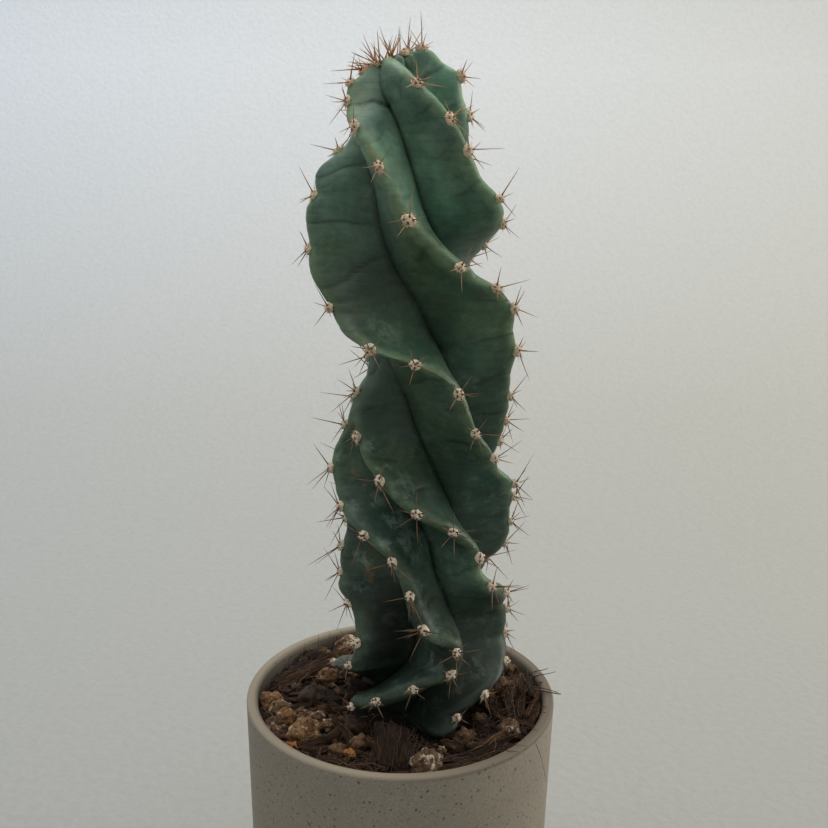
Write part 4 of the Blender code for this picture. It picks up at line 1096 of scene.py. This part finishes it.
mixSettings = {
    "gap": 0.3, "plugRadius": 14.0, "foot": (9.5, -3.0), "clearOfStem": 24, "strewnRadius": 64,
    "columns": 240, "topRows": 52, "sunk": 1.2, "lowest": 1.4, "crumbHeight": 2.3,
    "crumbs": 680, "looseChips": 150, "looseLumps": 24, "looseFibres": 430,
    # each lump's place and width, how far it goes from dark brown to orange, and how much chalky crust it has
    "lumps": [
        (-59, -3, 8.8, 0.75, 0.3), (-54, -10.5, 8.4, 0.6, 0.6), (-50.5, -19.5, 7.6, 0.8, 0.4),
        (-41.5, -30.5, 12.8, 0.72, 0.5), (-37.5, -19, 7, 0.55, 0.5), (-32, -25, 5.2, 0.6, 0.6),
        (-17, -37, 7, 0.55, 0.35), (-57, -28, 6.8, 0.5, 0.6), (-44, -19, 4.6, 0.6, 0.3),
        (-44, -14, 6.2, 0.35, 0.3), (-46, -41, 5.2, 1, 0.1), (-26, -43, 7, 0.5, 0.25), (-21, -45, 4.8, 1, 0.1),
        (-35, 19, 8.8, 0.6, 0.3), (-29, 54, 10.4, 0.5, 0.7), (-41, 0, 11.5, 0.12, 0.05),
        (-27, -19, 4.4, 0.5, 0.2), (-20, -24, 8.3, 0.15, 0), (-34, -49, 3.8, 0.4, 0.8),
        (10.5, -53.5, 11.4, 0.36, 0.72), (15, -51, 6.2, 0.3, 0.1), (28, -32, 7.2, 0.38, 0.35),
        (35, -17, 6.4, 0.32, 0.15), (49, 8, 9.8, 0.48, 0.1), (54, 30, 6.4, 0.5, 0.3), (43, 7, 3, 0.92, 0.1),
        (47, -27, 9.4, 0.36, 0.45), (18, -41, 3.6, 0.4, 0.8), (15, -37, 2.8, 0.5, 0.2), (57, 7, 4, 0.35, 0.7),
        (17, -46, 2.8, 0.4, 0.8), (1, -58, 2.4, 0.3, 0.9), (4, -57, 2.4, 0.3, 0.8), (-11, -58, 2.8, 0.2, 0.4),
        (19, -55, 5.2, 0.2, 0), (-49, 9, 4.6, 0.25, 0.1), (23, -46, 3.5, 0.15, 0.1), (-55, -25, 6.5, 0.3, 0.15),
        (-52, -31, 6, 0.28, 0.1), (22, 52, 9, 0.5, 0.4), (-6, 56, 8, 0.6, 0.3), (40, 42, 10, 0.45, 0.6),
    ],
    # each bark piece: place, length, width, turn, tilt, thickness and how far it stands up from the bed
    "chips": [
        (-2.4, -45, 21, 17.5, 89, -25, 6.5, 2.6), (-47, 20, 34, 7.5, 43, -4, 5, 1.6),
        (-24, -29, 23, 3.2, -66, 5, 3, 1.6), (-34, -36, 17, 3.4, 32, -6, 3, 1.2),
        (-33, -52, 25, 3.2, -31, 2, 2.4, 1), (-23, -55, 23, 2.6, -23, 3, 2.2, 1),
        (-22, -51, 16, 2.2, -32, -4, 2, 1.6), (-34, -41, 13, 5, 23, 5, 3, 0.8),
        (4, -35, 25, 3.4, -25, 3, 3, 0.8), (30, -50, 26, 5, 27, 3, 3.2, 1), (33, -44, 27, 4.4, 29, -5, 3, 1.6),
        (39, -48, 24, 3.4, 39, 6, 2.4, 1.8), (39, -36, 13, 5.5, 21, -8, 3.6, 1.2),
        (-31, -8, 15, 2.4, -23, 8, 2, 1.2), (-29, 46, 15, 5, 39, 0, 3.4, 0.8), (4, -58, 13, 2.4, 4, 0, 2, 0.6),
        (-45, 28, 12, 3.4, 46, 14, 2.4, 2), (-52, 19, 13, 3, 58, -16, 2.2, 1.4),
        (26, -57, 15, 2.6, 17, 3, 2, 0.8), (60, -13, 19, 4, -110, 6, 2.6, 1.4),
        (56, -2, 26, 3.2, -98, 5, 2.4, 4), (60, 5, 24, 2.8, -92, -7, 2.2, 4.4),
        (52, 3, 25, 3.4, -106, 4, 2.4, 3.4), (61, -5, 22, 2.4, -112, 8, 2, 4.8),
        (55, 9, 20, 2.6, -84, -6, 2.2, 4), (49, -6, 24, 3, -95, 3, 2.4, 3), (44, -16, 22, 3.2, -60, 4, 2.4, 2.6),
        (33, -41, 10, 4, 15, 10, 3, 1.4), (-57, 8, 14, 3.4, 78, 10, 2.4, 1.2),
        (-14, -52, 14, 6, 10, 8, 3.2, 0.6), (13, -56, 12, 5, 8, -4, 3, 0.6), (54, 14, 20, 8, 70, 12, 4, 1.2),
        (6, 52, 26, 8, 5, 8, 4, 1.2), (32, 50, 24, 7, -35, 8, 4, 1.2), (-10, 60, 16, 6, 8, 10, 3.4, 1),
        (46, 34, 18, 6, 120, -8, 3.4, 1), (-44, 40, 18, 6, 130, 8, 3.4, 1), (-38, -12, 12, 5, 10, -10, 3, 0.8),
        (44, -8, 14, 5, 75, 8, 3, 1), (24, -40, 12, 4.6, -15, 8, 3, 0.8),
    ],
    # loose threads gathered in one place: from, to, how wide a drift, how many, their length, rise and shade
    "drifts": [
        ((50, -18), (61, 24), 3.6, 26, (12, 30), (-8, 14), (0.2, 0.9)),
        ((22, -56), (44, -46), 3.2, 90, (8, 20), (-6, 10), (0.1, 0.6)),
        ((-52, 20), (-36, 42), 5.0, 80, (6, 16), (-4, 38), (0.0, 0.35)),
        ((-40, -50), (-14, -58), 2.4, 46, (8, 20), (-4, 7), (0.1, 0.8)),
        ((30, -30), (52, -14), 6.0, 34, (7, 18), (-8, 12), (0.05, 0.6)),
    ],
    # threads that lie over the rim, each with its thickness and its own path
    "strands": [
        (0.3, (60, 20, 126), (64, 17, 130.6), (67.5, 15, 131.8), (70, 14, 133.7)),
        (0.26, (60, 16, 126), (65, 13, 130.8), (69.5, 11, 132.2), (72.8, 10, 134)),
        (0.55, (56, 4, 127), (62, 0, 130.6), (67, -4, 131.2), (73, -6, 131.4)),
        (0.35, (57, 7, 127), (63, 2, 130.8), (68, -3, 131.8), (71.6, -6, 132.3)),
        (0.22, (54, -6, 127), (60, -11, 130.4), (65.3, -16.8, 130.6)),
        (0.2, (52, -12, 127), (58, -18, 130.4), (64.6, -21, 130.7)),
        (0.2, (48, -26, 126), (54, -31, 130.3), (58.7, -35, 130.7)),
        (0.24, (36, -46, 126), (43, -49, 130.4), (48.9, -52.3, 131)),
        (0.16, (30, -50, 126), (36, -55, 130.6), (38.8, -60.5, 129.6)),
        (0.16, (38, -42, 127), (46, -46, 130.9), (53, -47.5, 130.9)),
        (0.14, (48, -32, 126), (56, -38.5, 130.6), (59.3, -41.2, 123.5), (61.6, -37.2, 114.7), (64.2, -32.2, 104.1)),
        (0.2, (-50, 26, 125), (-48, 30, 131), (-47, 32, 136)),
        (0.18, (-42, 38, 125), (-41, 38, 131), (-41, 39, 137)),
    ],
}


def bedHeight(x, y):
    # the mix is rough out to the wall and flat under the plant
    m, spot = mixSettings, Vector((x, y, 0))
    nearStem = math.hypot(x - m["foot"][0], y - m["foot"][1])
    rough = climbed(nearStem, m["plugRadius"], m["plugRadius"] + 20) * 0.5 + 0.5 * climbed(nearStem, 30, 44)
    lumpy = noise.noise(spot / 9) * 0.9 + noise.noise(spot / 3.4) * 0.9 + abs(noise.noise(spot / 1.5)) * 0.6
    return stemSettings["soilTop"] - m["sunk"] + rough * m["crumbHeight"] * lumpy


def layHeight(x, y):
    # what lies on the mix doesn't sink into its deepest hollows
    return max(bedHeight(x, y), stemSettings["soilTop"] - mixSettings["lowest"])


def finesMaterial():
    # damp coir dust and bark fines, fibrous and matt, with painted shade that makes their hollows near black
    material, tree = newMaterial("coirAndBarkFines", {"Roughness": 0.95})
    place = addNode(tree, "TexCoord", {})["Object"]
    tint = addNode(tree, "Attribute", {"attribute_name": "tint"})["Fac"]
    # crumbs of 3.5 mm down to threads of a few hundredths
    crumbs = addNode(tree, "TexNoise", {"Vector": place, "Scale": 1 / (3.5 * mm), "Detail": 9, "Roughness": 0.7})["Fac"]
    dampAndShade, dry = [
        addNode(tree, "ValToRGB", {0: crumbs, "stops": stops})[0]
        for stops in (
            [(0.34, "#0c0805"), (0.52, "#1e140c"), (0.68, "#38271a"), (0.8, "#573f28")],
            [(0.34, "#22160e"), (0.52, "#4a3220"), (0.7, "#775a40")],
        )
    ]
    tone = addNode(tree, "Mix", {"data_type": "RGBA", 0: tint, 6: dampAndShade, 7: dry})[2]
    bump = addNode(tree, "Bump", {"Strength": 1, "Distance": 1.2 * mm, "Height": crumbs})[0]
    return wire(material, {"Base Color": tone, "Normal": bump})


def barkMaterial():
    # shredded bark and husk: long grain, dark red-brown with paler torn fibres
    material, tree = newMaterial("shreddedBark", {"Roughness": 0.85, "Specular IOR Level": 0.25})
    grainPlace = addNode(tree, "UVMap", {"uv_map": "UVMap"})["UV"]
    tint = addNode(tree, "Attribute", {"attribute_name": "tint"})["Fac"]
    place = addNode(tree, "TexCoord", {})["Object"]
    # the grain's threads are 0.7 mm wide and a centimetre long; UV runs in millimetres
    stretch = addNode(tree, "Mapping", {"Vector": grainPlace, "Scale": (0.09, 1.5, 1)})[0]
    grain = addNode(tree, "TexNoise", {
        "Vector": stretch, "Scale": 1, "Detail": 6, "Roughness": 0.65, "Distortion": 0.4,
    })["Fac"]
    # weathered spots of 6 mm
    spots = addNode(tree, "TexNoise", {"Vector": place, "Scale": 1 / (6 * mm), "Detail": 3})["Fac"]
    dark, pale, weather = [
        addNode(tree, "ValToRGB", {0: source, "stops": stops})[0]
        for source, stops in (
            (grain, [(0.3, "#110a04"), (0.48, "#231508"), (0.62, "#3a250f"), (0.78, "#644622")]),
            (grain, [(0.3, "#26180d"), (0.48, "#4c331d"), (0.62, "#755636"), (0.78, "#a08058")]),
            (spots, [(0.35, 0.55), (0.65, 1)]),
        )
    ]
    mixed = addNode(tree, "Mix", {"data_type": "RGBA", 0: tint, 6: dark, 7: pale})[2]
    tone = addNode(tree, "Mix", {"data_type": "RGBA", "blend_type": "MULTIPLY", 0: 0.8, 6: mixed, 7: weather})[2]
    bump = addNode(tree, "Bump", {"Strength": 0.9, "Distance": 0.5 * mm, "Height": grain})[0]
    return wire(material, {"Base Color": tone, "Normal": bump})


def pumiceMaterial():
    # crushed pumice and baked clay: knobbly and matt, dark brown to tan and a few rusty orange, with chalky crusts
    material, tree = newMaterial("pumiceAndBakedClay", {"Roughness": 0.9})
    place = addNode(tree, "TexCoord", {})["Object"]
    tint, chalk = [addNode(tree, "Attribute", {"attribute_name": name})["Fac"] for name in ("tint", "chalk")]
    # pits of 1.6 mm, darkened with painted shade, and crusts of 2.6 mm
    pits, crusts = [
        addNode(tree, "TexNoise", {
            "Vector": place, "Scale": 1 / (size * mm), "Detail": detail, "Roughness": rough,
        })["Fac"]
        for size, detail, rough in ((1.6, 6, 0.7), (2.6, 5, 0.65))
    ]
    laid = addNode(tree, "Math", {"operation": "MULTIPLY_ADD", 0: chalk, 1: 0.26, 2: crusts})[0]
    stone, shade, crust = [
        addNode(tree, "ValToRGB", {0: source, "stops": stops})[0]
        for source, stops in (
            (tint, [(0, "#2f2218"), (0.3, "#604a34"), (0.6, "#876a4b"), (0.85, "#9c774b"), (1, "#be8846")]),
            (pits, [(0.34, "#3f2c20"), (0.5, "#cdbda8"), (0.7, "#ffffff")]),
            (laid, [(0.69, 0), (0.76, 0.85)]),
        )
    ]
    withPaintedShade = addNode(tree, "Mix", {"data_type": "RGBA", "blend_type": "MULTIPLY", 0: 1, 6: stone, 7: shade})[2]
    tone = addNode(tree, "Mix", {"data_type": "RGBA", 0: crust, 6: withPaintedShade, 7: "#bdae96"})[2]
    bump = addNode(tree, "Bump", {"Strength": 1, "Distance": 0.8 * mm, "Height": pits})[0]
    return wire(material, {"Base Color": tone, "Normal": bump})


def fibreMaterial():
    # coir: wiry husk fibre, dull brown to straw
    material, tree = newMaterial("coirFibre", {"Roughness": 0.8})
    tint = addNode(tree, "Attribute", {"attribute_name": "tint"})["Fac"]
    stops = [(0, "#1e130c"), (0.5, "#422c1c"), (0.85, "#6f5236"), (1, "#97784f")]
    return wire(material, {"Base Color": addNode(tree, "ValToRGB", {0: tint, "stops": stops})[0]})


def makeBed():
    m, top = mixSettings, stemSettings["soilTop"]
    base = potSettings["floor"] + m["gap"]
    # the side against the pot: height and how far it is set in
    wallSide = [(base, 3.0), (base + 3, 0.0), (60.0, 0.0), (top - 2.5, 0.0)]
    outer, inner = wallRadius(top) - m["gap"] - 0.1, m["plugRadius"] + m["gap"]

    def place(column, row):
        angle = 2 * math.pi * column / m["columns"]
        if row < len(wallSide):
            z, inset = wallSide[row]
            radius = wallRadius(z) - m["gap"] - inset
            return (radius * math.cos(angle) * mm, radius * math.sin(angle) * mm, z * mm)
        near = [middle + inner * way for middle, way in zip(m["foot"], (math.cos(angle), math.sin(angle)))]
        if row == len(wallSide) + m["topRows"]:
            return (near[0] * mm, near[1] * mm, (stemSettings["plugBottom"] - m["gap"]) * mm)
        share = (row - len(wallSide)) / (m["topRows"] - 1)
        x = outer * math.cos(angle) * (1 - share) + near[0] * share
        y = outer * math.sin(angle) * (1 - share) + near[1] * share
        return (x * mm, y * mm, bedHeight(x, y) * mm)

    bed = rolledGrid(m["columns"], len(wallSide) + m["topRows"] + 1, place)
    bpy.ops.object.shade_smooth_by_angle(angle=math.radians(40))
    dress(bed, "mixBed", finesMaterial(), "soil")
    print("bed ready")


def lumpPattern(number, cuts):
    # a knobbly stone of the mix: an icosphere swollen by noise of two or three sizes
    lump = begin(bpy.ops.mesh.primitive_ico_sphere_add, subdivisions=cuts, radius=1)
    shift = Vector((number * 3.7, number * 1.9, 0))
    for vertex in lump.data.vertices:
        spot = vertex.co.normalized()
        swell = 1 + 0.36 * noise.noise(spot * 1.5 + shift) + 0.14 * noise.noise(spot * 3.6 + shift)
        if cuts > 3:
            swell += 0.06 * noise.noise(spot * 8.0 + shift)
        vertex.co = spot * swell
    bpy.ops.object.shade_smooth()
    return lump


def chipPattern(number, cuts):
    # a torn slab one unit long and wide, with ridged grain, ragged ends and a UV map that runs along the grain
    chip = begin(bpy.ops.mesh.primitive_cube_add, size=1)
    bpy.ops.object.mode_set(mode="EDIT")
    bpy.ops.mesh.select_all(action="SELECT")
    bpy.ops.mesh.subdivide(number_cuts=cuts)
    bpy.ops.object.mode_set(mode="OBJECT")
    shift = Vector((number * 5.3, 0, number * 2.1))

    def rough(x, y, z):
        return noise.noise(Vector((x, y, z)) + shift)

    for vertex in chip.data.vertices:
        x, y, z = vertex.co
        ridge = 0.4 * rough(x * 1.2, y * 7, 0) + 0.24 * rough(x * 2.5, y * 17, 4)
        ragged = 1 + 0.5 * rough(y * 8, z * 2, 0) * abs(x) * 2
        side = 1 - 0.5 * abs(x) * 2 * abs(rough(x * 2, 0, 3)) - 0.2 * abs(x)
        thin = 1 - 0.45 * (2 * abs(y)) ** 2
        vertex.co = (x * ragged, y * side + 0.08 * math.sin(3 * x + number), z * thin + ridge * 0.6)
    return chip


def mapGrain(piece, length, width):
    # UV in millimetres along and across the chip, before it is turned into place
    layer = piece.data.uv_layers["UVMap"]
    shift = between(0, 50)
    for loop in piece.data.loops:
        x, y, z = piece.data.vertices[loop.vertex_index].co
        layer.data[loop.index].uv = (x * length + shift, (y + z * 0.6) * width + shift)


def fibrePattern(number):
    # a wiry strand one unit long that wanders off its line
    fibre = drawnRod(4, -0.5, 0.9, [(0.1, 0.93)] * 9)
    for vertex in fibre.data.vertices:
        z = vertex.co.z
        bow = 11.0 * math.sin((z + 0.5) * (2.2 + number % 3) + number)
        vertex.co.x += bow + 4.0 * noise.noise(Vector((z * 5, number, 0)))
        vertex.co.y += 5.0 * noise.noise(Vector((z * 3, number * 2.0, 7)))
    bpy.ops.object.shade_smooth()
    return fibre


def insideWall(x, y, margin):
    limit = wallRadius(stemSettings["soilTop"]) - mixSettings["gap"] - margin
    scale = min(1.0, limit / max(math.hypot(x, y), 1.0))
    return x * scale, y * scale


def keepInside(piece):
    # what lies below the rim stays off the pot's wall
    for vertex in piece.data.vertices:
        if vertex.co.z < (potSettings["height"] + 0.4) * mm:
            x, y = insideWall(vertex.co.x / mm, vertex.co.y / mm, 0.3)
            vertex.co.x, vertex.co.y = x * mm, y * mm


def onTheMix(margin):
    # a free place between the stem's foot and the wall
    m = mixSettings
    while True:
        radius, angle = m["strewnRadius"] * math.sqrt(between(0.06, 1)), between(0, 2 * math.pi)
        x, y = insideWall(radius * math.cos(angle), radius * math.sin(angle), margin)
        if math.hypot(x - m["foot"][0], y - m["foot"][1]) > m["clearOfStem"]:
            return x, y


def makeCrumbs():
    # the coarse fines between the bigger pieces
    patterns = [lumpPattern(20 + i, 2) for i in range(5)]
    crumbs = []
    for i in range(mixSettings["crumbs"]):
        size = 0.8 + 2.4 * chance.random() ** 1.8
        x, y = onTheMix(size)
        turn = spun(between(*anyTurn), "Z")
        shape = sized(size * between(0.5, 0.9), size * 0.5, size * 0.42)
        at = moved(x, y, bedHeight(x, y) + size * 0.15)
        crumbs.append(copyOf(patterns[i % 5], at @ turn @ shape, tint=chance.random() ** 2.2))
    discard(patterns)
    dress(joinAll(crumbs), "mixCrumbs", finesMaterial())
    print("crumbs ready")


def makeLumps():
    patterns = [lumpPattern(i, 4) for i in range(6)]
    rows = list(mixSettings["lumps"])
    for i in range(mixSettings["looseLumps"]):
        x, y = onTheMix(4)
        rows.append((x, abs(y), between(2.6, 6.0), between(0.1, 0.7), chance.random() ** 2))
    lumps = []
    for i, (x, y, size, tint, chalk) in enumerate(rows):
        x, y = insideWall(x, y, size * 0.55)
        turn = spun(between(*anyTurn), "Z") @ spun(between(-0.6, 0.6), "X")
        shape = sized(size * 0.62, size * 0.53, size * 0.5)
        at = moved(x, y, bedHeight(x, y) + size * 0.2 + 0.6)
        lumps.append(copyOf(patterns[i % 6], at @ turn @ shape, tint=tint, chalk=chalk))
    discard(patterns)
    dress(joinAll(lumps), "pumiceLumps", pumiceMaterial())
    print("lumps ready:", len(rows))


def makeChips():
    chosen = mixSettings["chips"]
    patterns, finer = [chipPattern(i, 5) for i in range(6)], [chipPattern(i, 13) for i in range(4)]
    rows = list(chosen)
    for i in range(mixSettings["looseChips"]):
        length = between(4, 13)
        width = length * between(0.2, 0.42)
        tilt = chance.gauss(0, 11)
        place = onTheMix(length * 0.4)
        rows.append((*place, length, width, between(0, 180), tilt, width * 0.5, 0.3 + abs(tilt) * 0.04))
    chips = []
    for i, (x, y, length, width, yaw, pitch, thick, lift) in enumerate(rows):
        # the big slab in front takes the darkest bark, which also stands as painted shade on its top
        tint = 0.0 if i == 0 else chance.random() ** 1.6
        chip = copyOf(finer[i % 4] if i < len(chosen) else patterns[i % 6], Matrix.Identity(4), tint=tint)
        mapGrain(chip, length, width)
        turn = spun(math.radians(yaw), "Z") @ spun(math.radians(pitch), "Y")
        turn = turn @ spun(math.radians(between(-12, 12)), "X")
        at = moved(x, y, layHeight(x, y) + lift + thick * 0.2)
        chip.data.transform(at @ turn @ sized(length, width, thick))
        keepInside(chip)
        chips.append(chip)
    discard(patterns + finer)
    bark = joinAll(chips)
    bpy.ops.object.shade_smooth_by_angle(angle=math.radians(30))
    dress(bark, "barkChips", barkMaterial())
    print("chips ready:", len(rows))


def strand(path, radius, tint):
    # a fibre along a given path, as a bevelled curve turned into a mesh
    curve = bpy.data.curves.new("strand", "CURVE")
    curve.dimensions = "3D"
    curve.bevel_depth = radius * mm
    curve.bevel_resolution = 1
    curve.use_fill_caps = True
    curve.resolution_u = 5
    spline = curve.splines.new("NURBS")
    spline.points.add(len(path) - 1)
    spline.use_endpoint_u = True
    spline.order_u = 3
    for i, (point, place) in enumerate(zip(spline.points, path)):
        point.co = (*[length * mm for length in place], 1)
        point.radius = 1 - 0.6 * i / (len(path) - 1)
    line = bpy.data.objects.new("strand", curve)
    bpy.context.collection.objects.link(line)
    pick(line)
    bpy.ops.object.convert(target="MESH")
    line = bpy.context.active_object
    mark(line, "tint", [tint] * len(line.data.vertices))
    return line


def makeFibres():
    m = mixSettings
    patterns = [fibrePattern(i) for i in range(6)]
    fibres = []

    def addFibre(x, y, lift, yaw, rise, length, shade):
        turn = spun(math.radians(yaw - 90), "Z") @ spun(math.radians(rise - 90), "X") @ spun(between(*anyTurn), "Z")
        centre = layHeight(x, y) + lift + length * 0.5 * abs(math.sin(math.radians(rise)))
        thick = between(0.1, 0.24)
        shape = moved(x, y, centre) @ (turn @ sized(thick, thick, length))
        fibres.append(copyOf(patterns[len(fibres) % 6], shape, tint=shade))
        keepInside(fibres[-1])

    for i in range(m["looseFibres"]):
        length = between(6, 18)
        addFibre(*onTheMix(length * 0.4), 1.2, between(0, 360), between(-10, 10), length, chance.random() ** 1.5)
    # torn threads stand off the bigger bark pieces along their grain
    for x, y, length, width, yaw, pitch, thick, lift in m["chips"]:
        turn = math.radians(yaw)
        for i in range(int(3 + length * width / 11)):
            side, slide = between(-0.55, 0.55) * width, between(-0.35, 0.35) * length
            across = slide * math.cos(turn) - side * math.sin(turn)
            away = slide * math.sin(turn) + side * math.cos(turn)
            high = lift + thick * 0.55 - slide * math.sin(math.radians(pitch))
            way, rise, long = yaw + chance.gauss(0, 7), between(-7, 7), length * between(0.3, 0.8)
            shade = between(0.2, 0.9) * (0.6 if width > 12 else 1)
            addFibre(*insideWall(x + across, y + away, 1), high, way, rise, long, shade)
    for start, end, spread, count, lengths, rises, shades in m["drifts"]:
        start, end = Vector(start), Vector(end)
        along = math.degrees(math.atan2(end.y - start.y, end.x - start.x))
        for i in range(count):
            spot = start.lerp(end, chance.random()) + Vector((chance.gauss(0, 1), chance.gauss(0, 1))) * spread * 0.6
            length = between(*lengths)
            lift, way = between(0.8, 4.2), along + chance.gauss(0, 24)
            addFibre(*insideWall(*spot, 2), lift, way, between(*rises), length, between(*shades))
    discard(patterns)
    fibres += [strand(path, radius, between(0.3, 0.75)) for radius, *path in m["strands"]]
    dress(joinAll(fibres), "coirFibres", fibreMaterial())
    print("fibres ready:", len(fibres))


makeBed()
makeCrumbs()
makeLumps()
makeChips()
makeFibres()
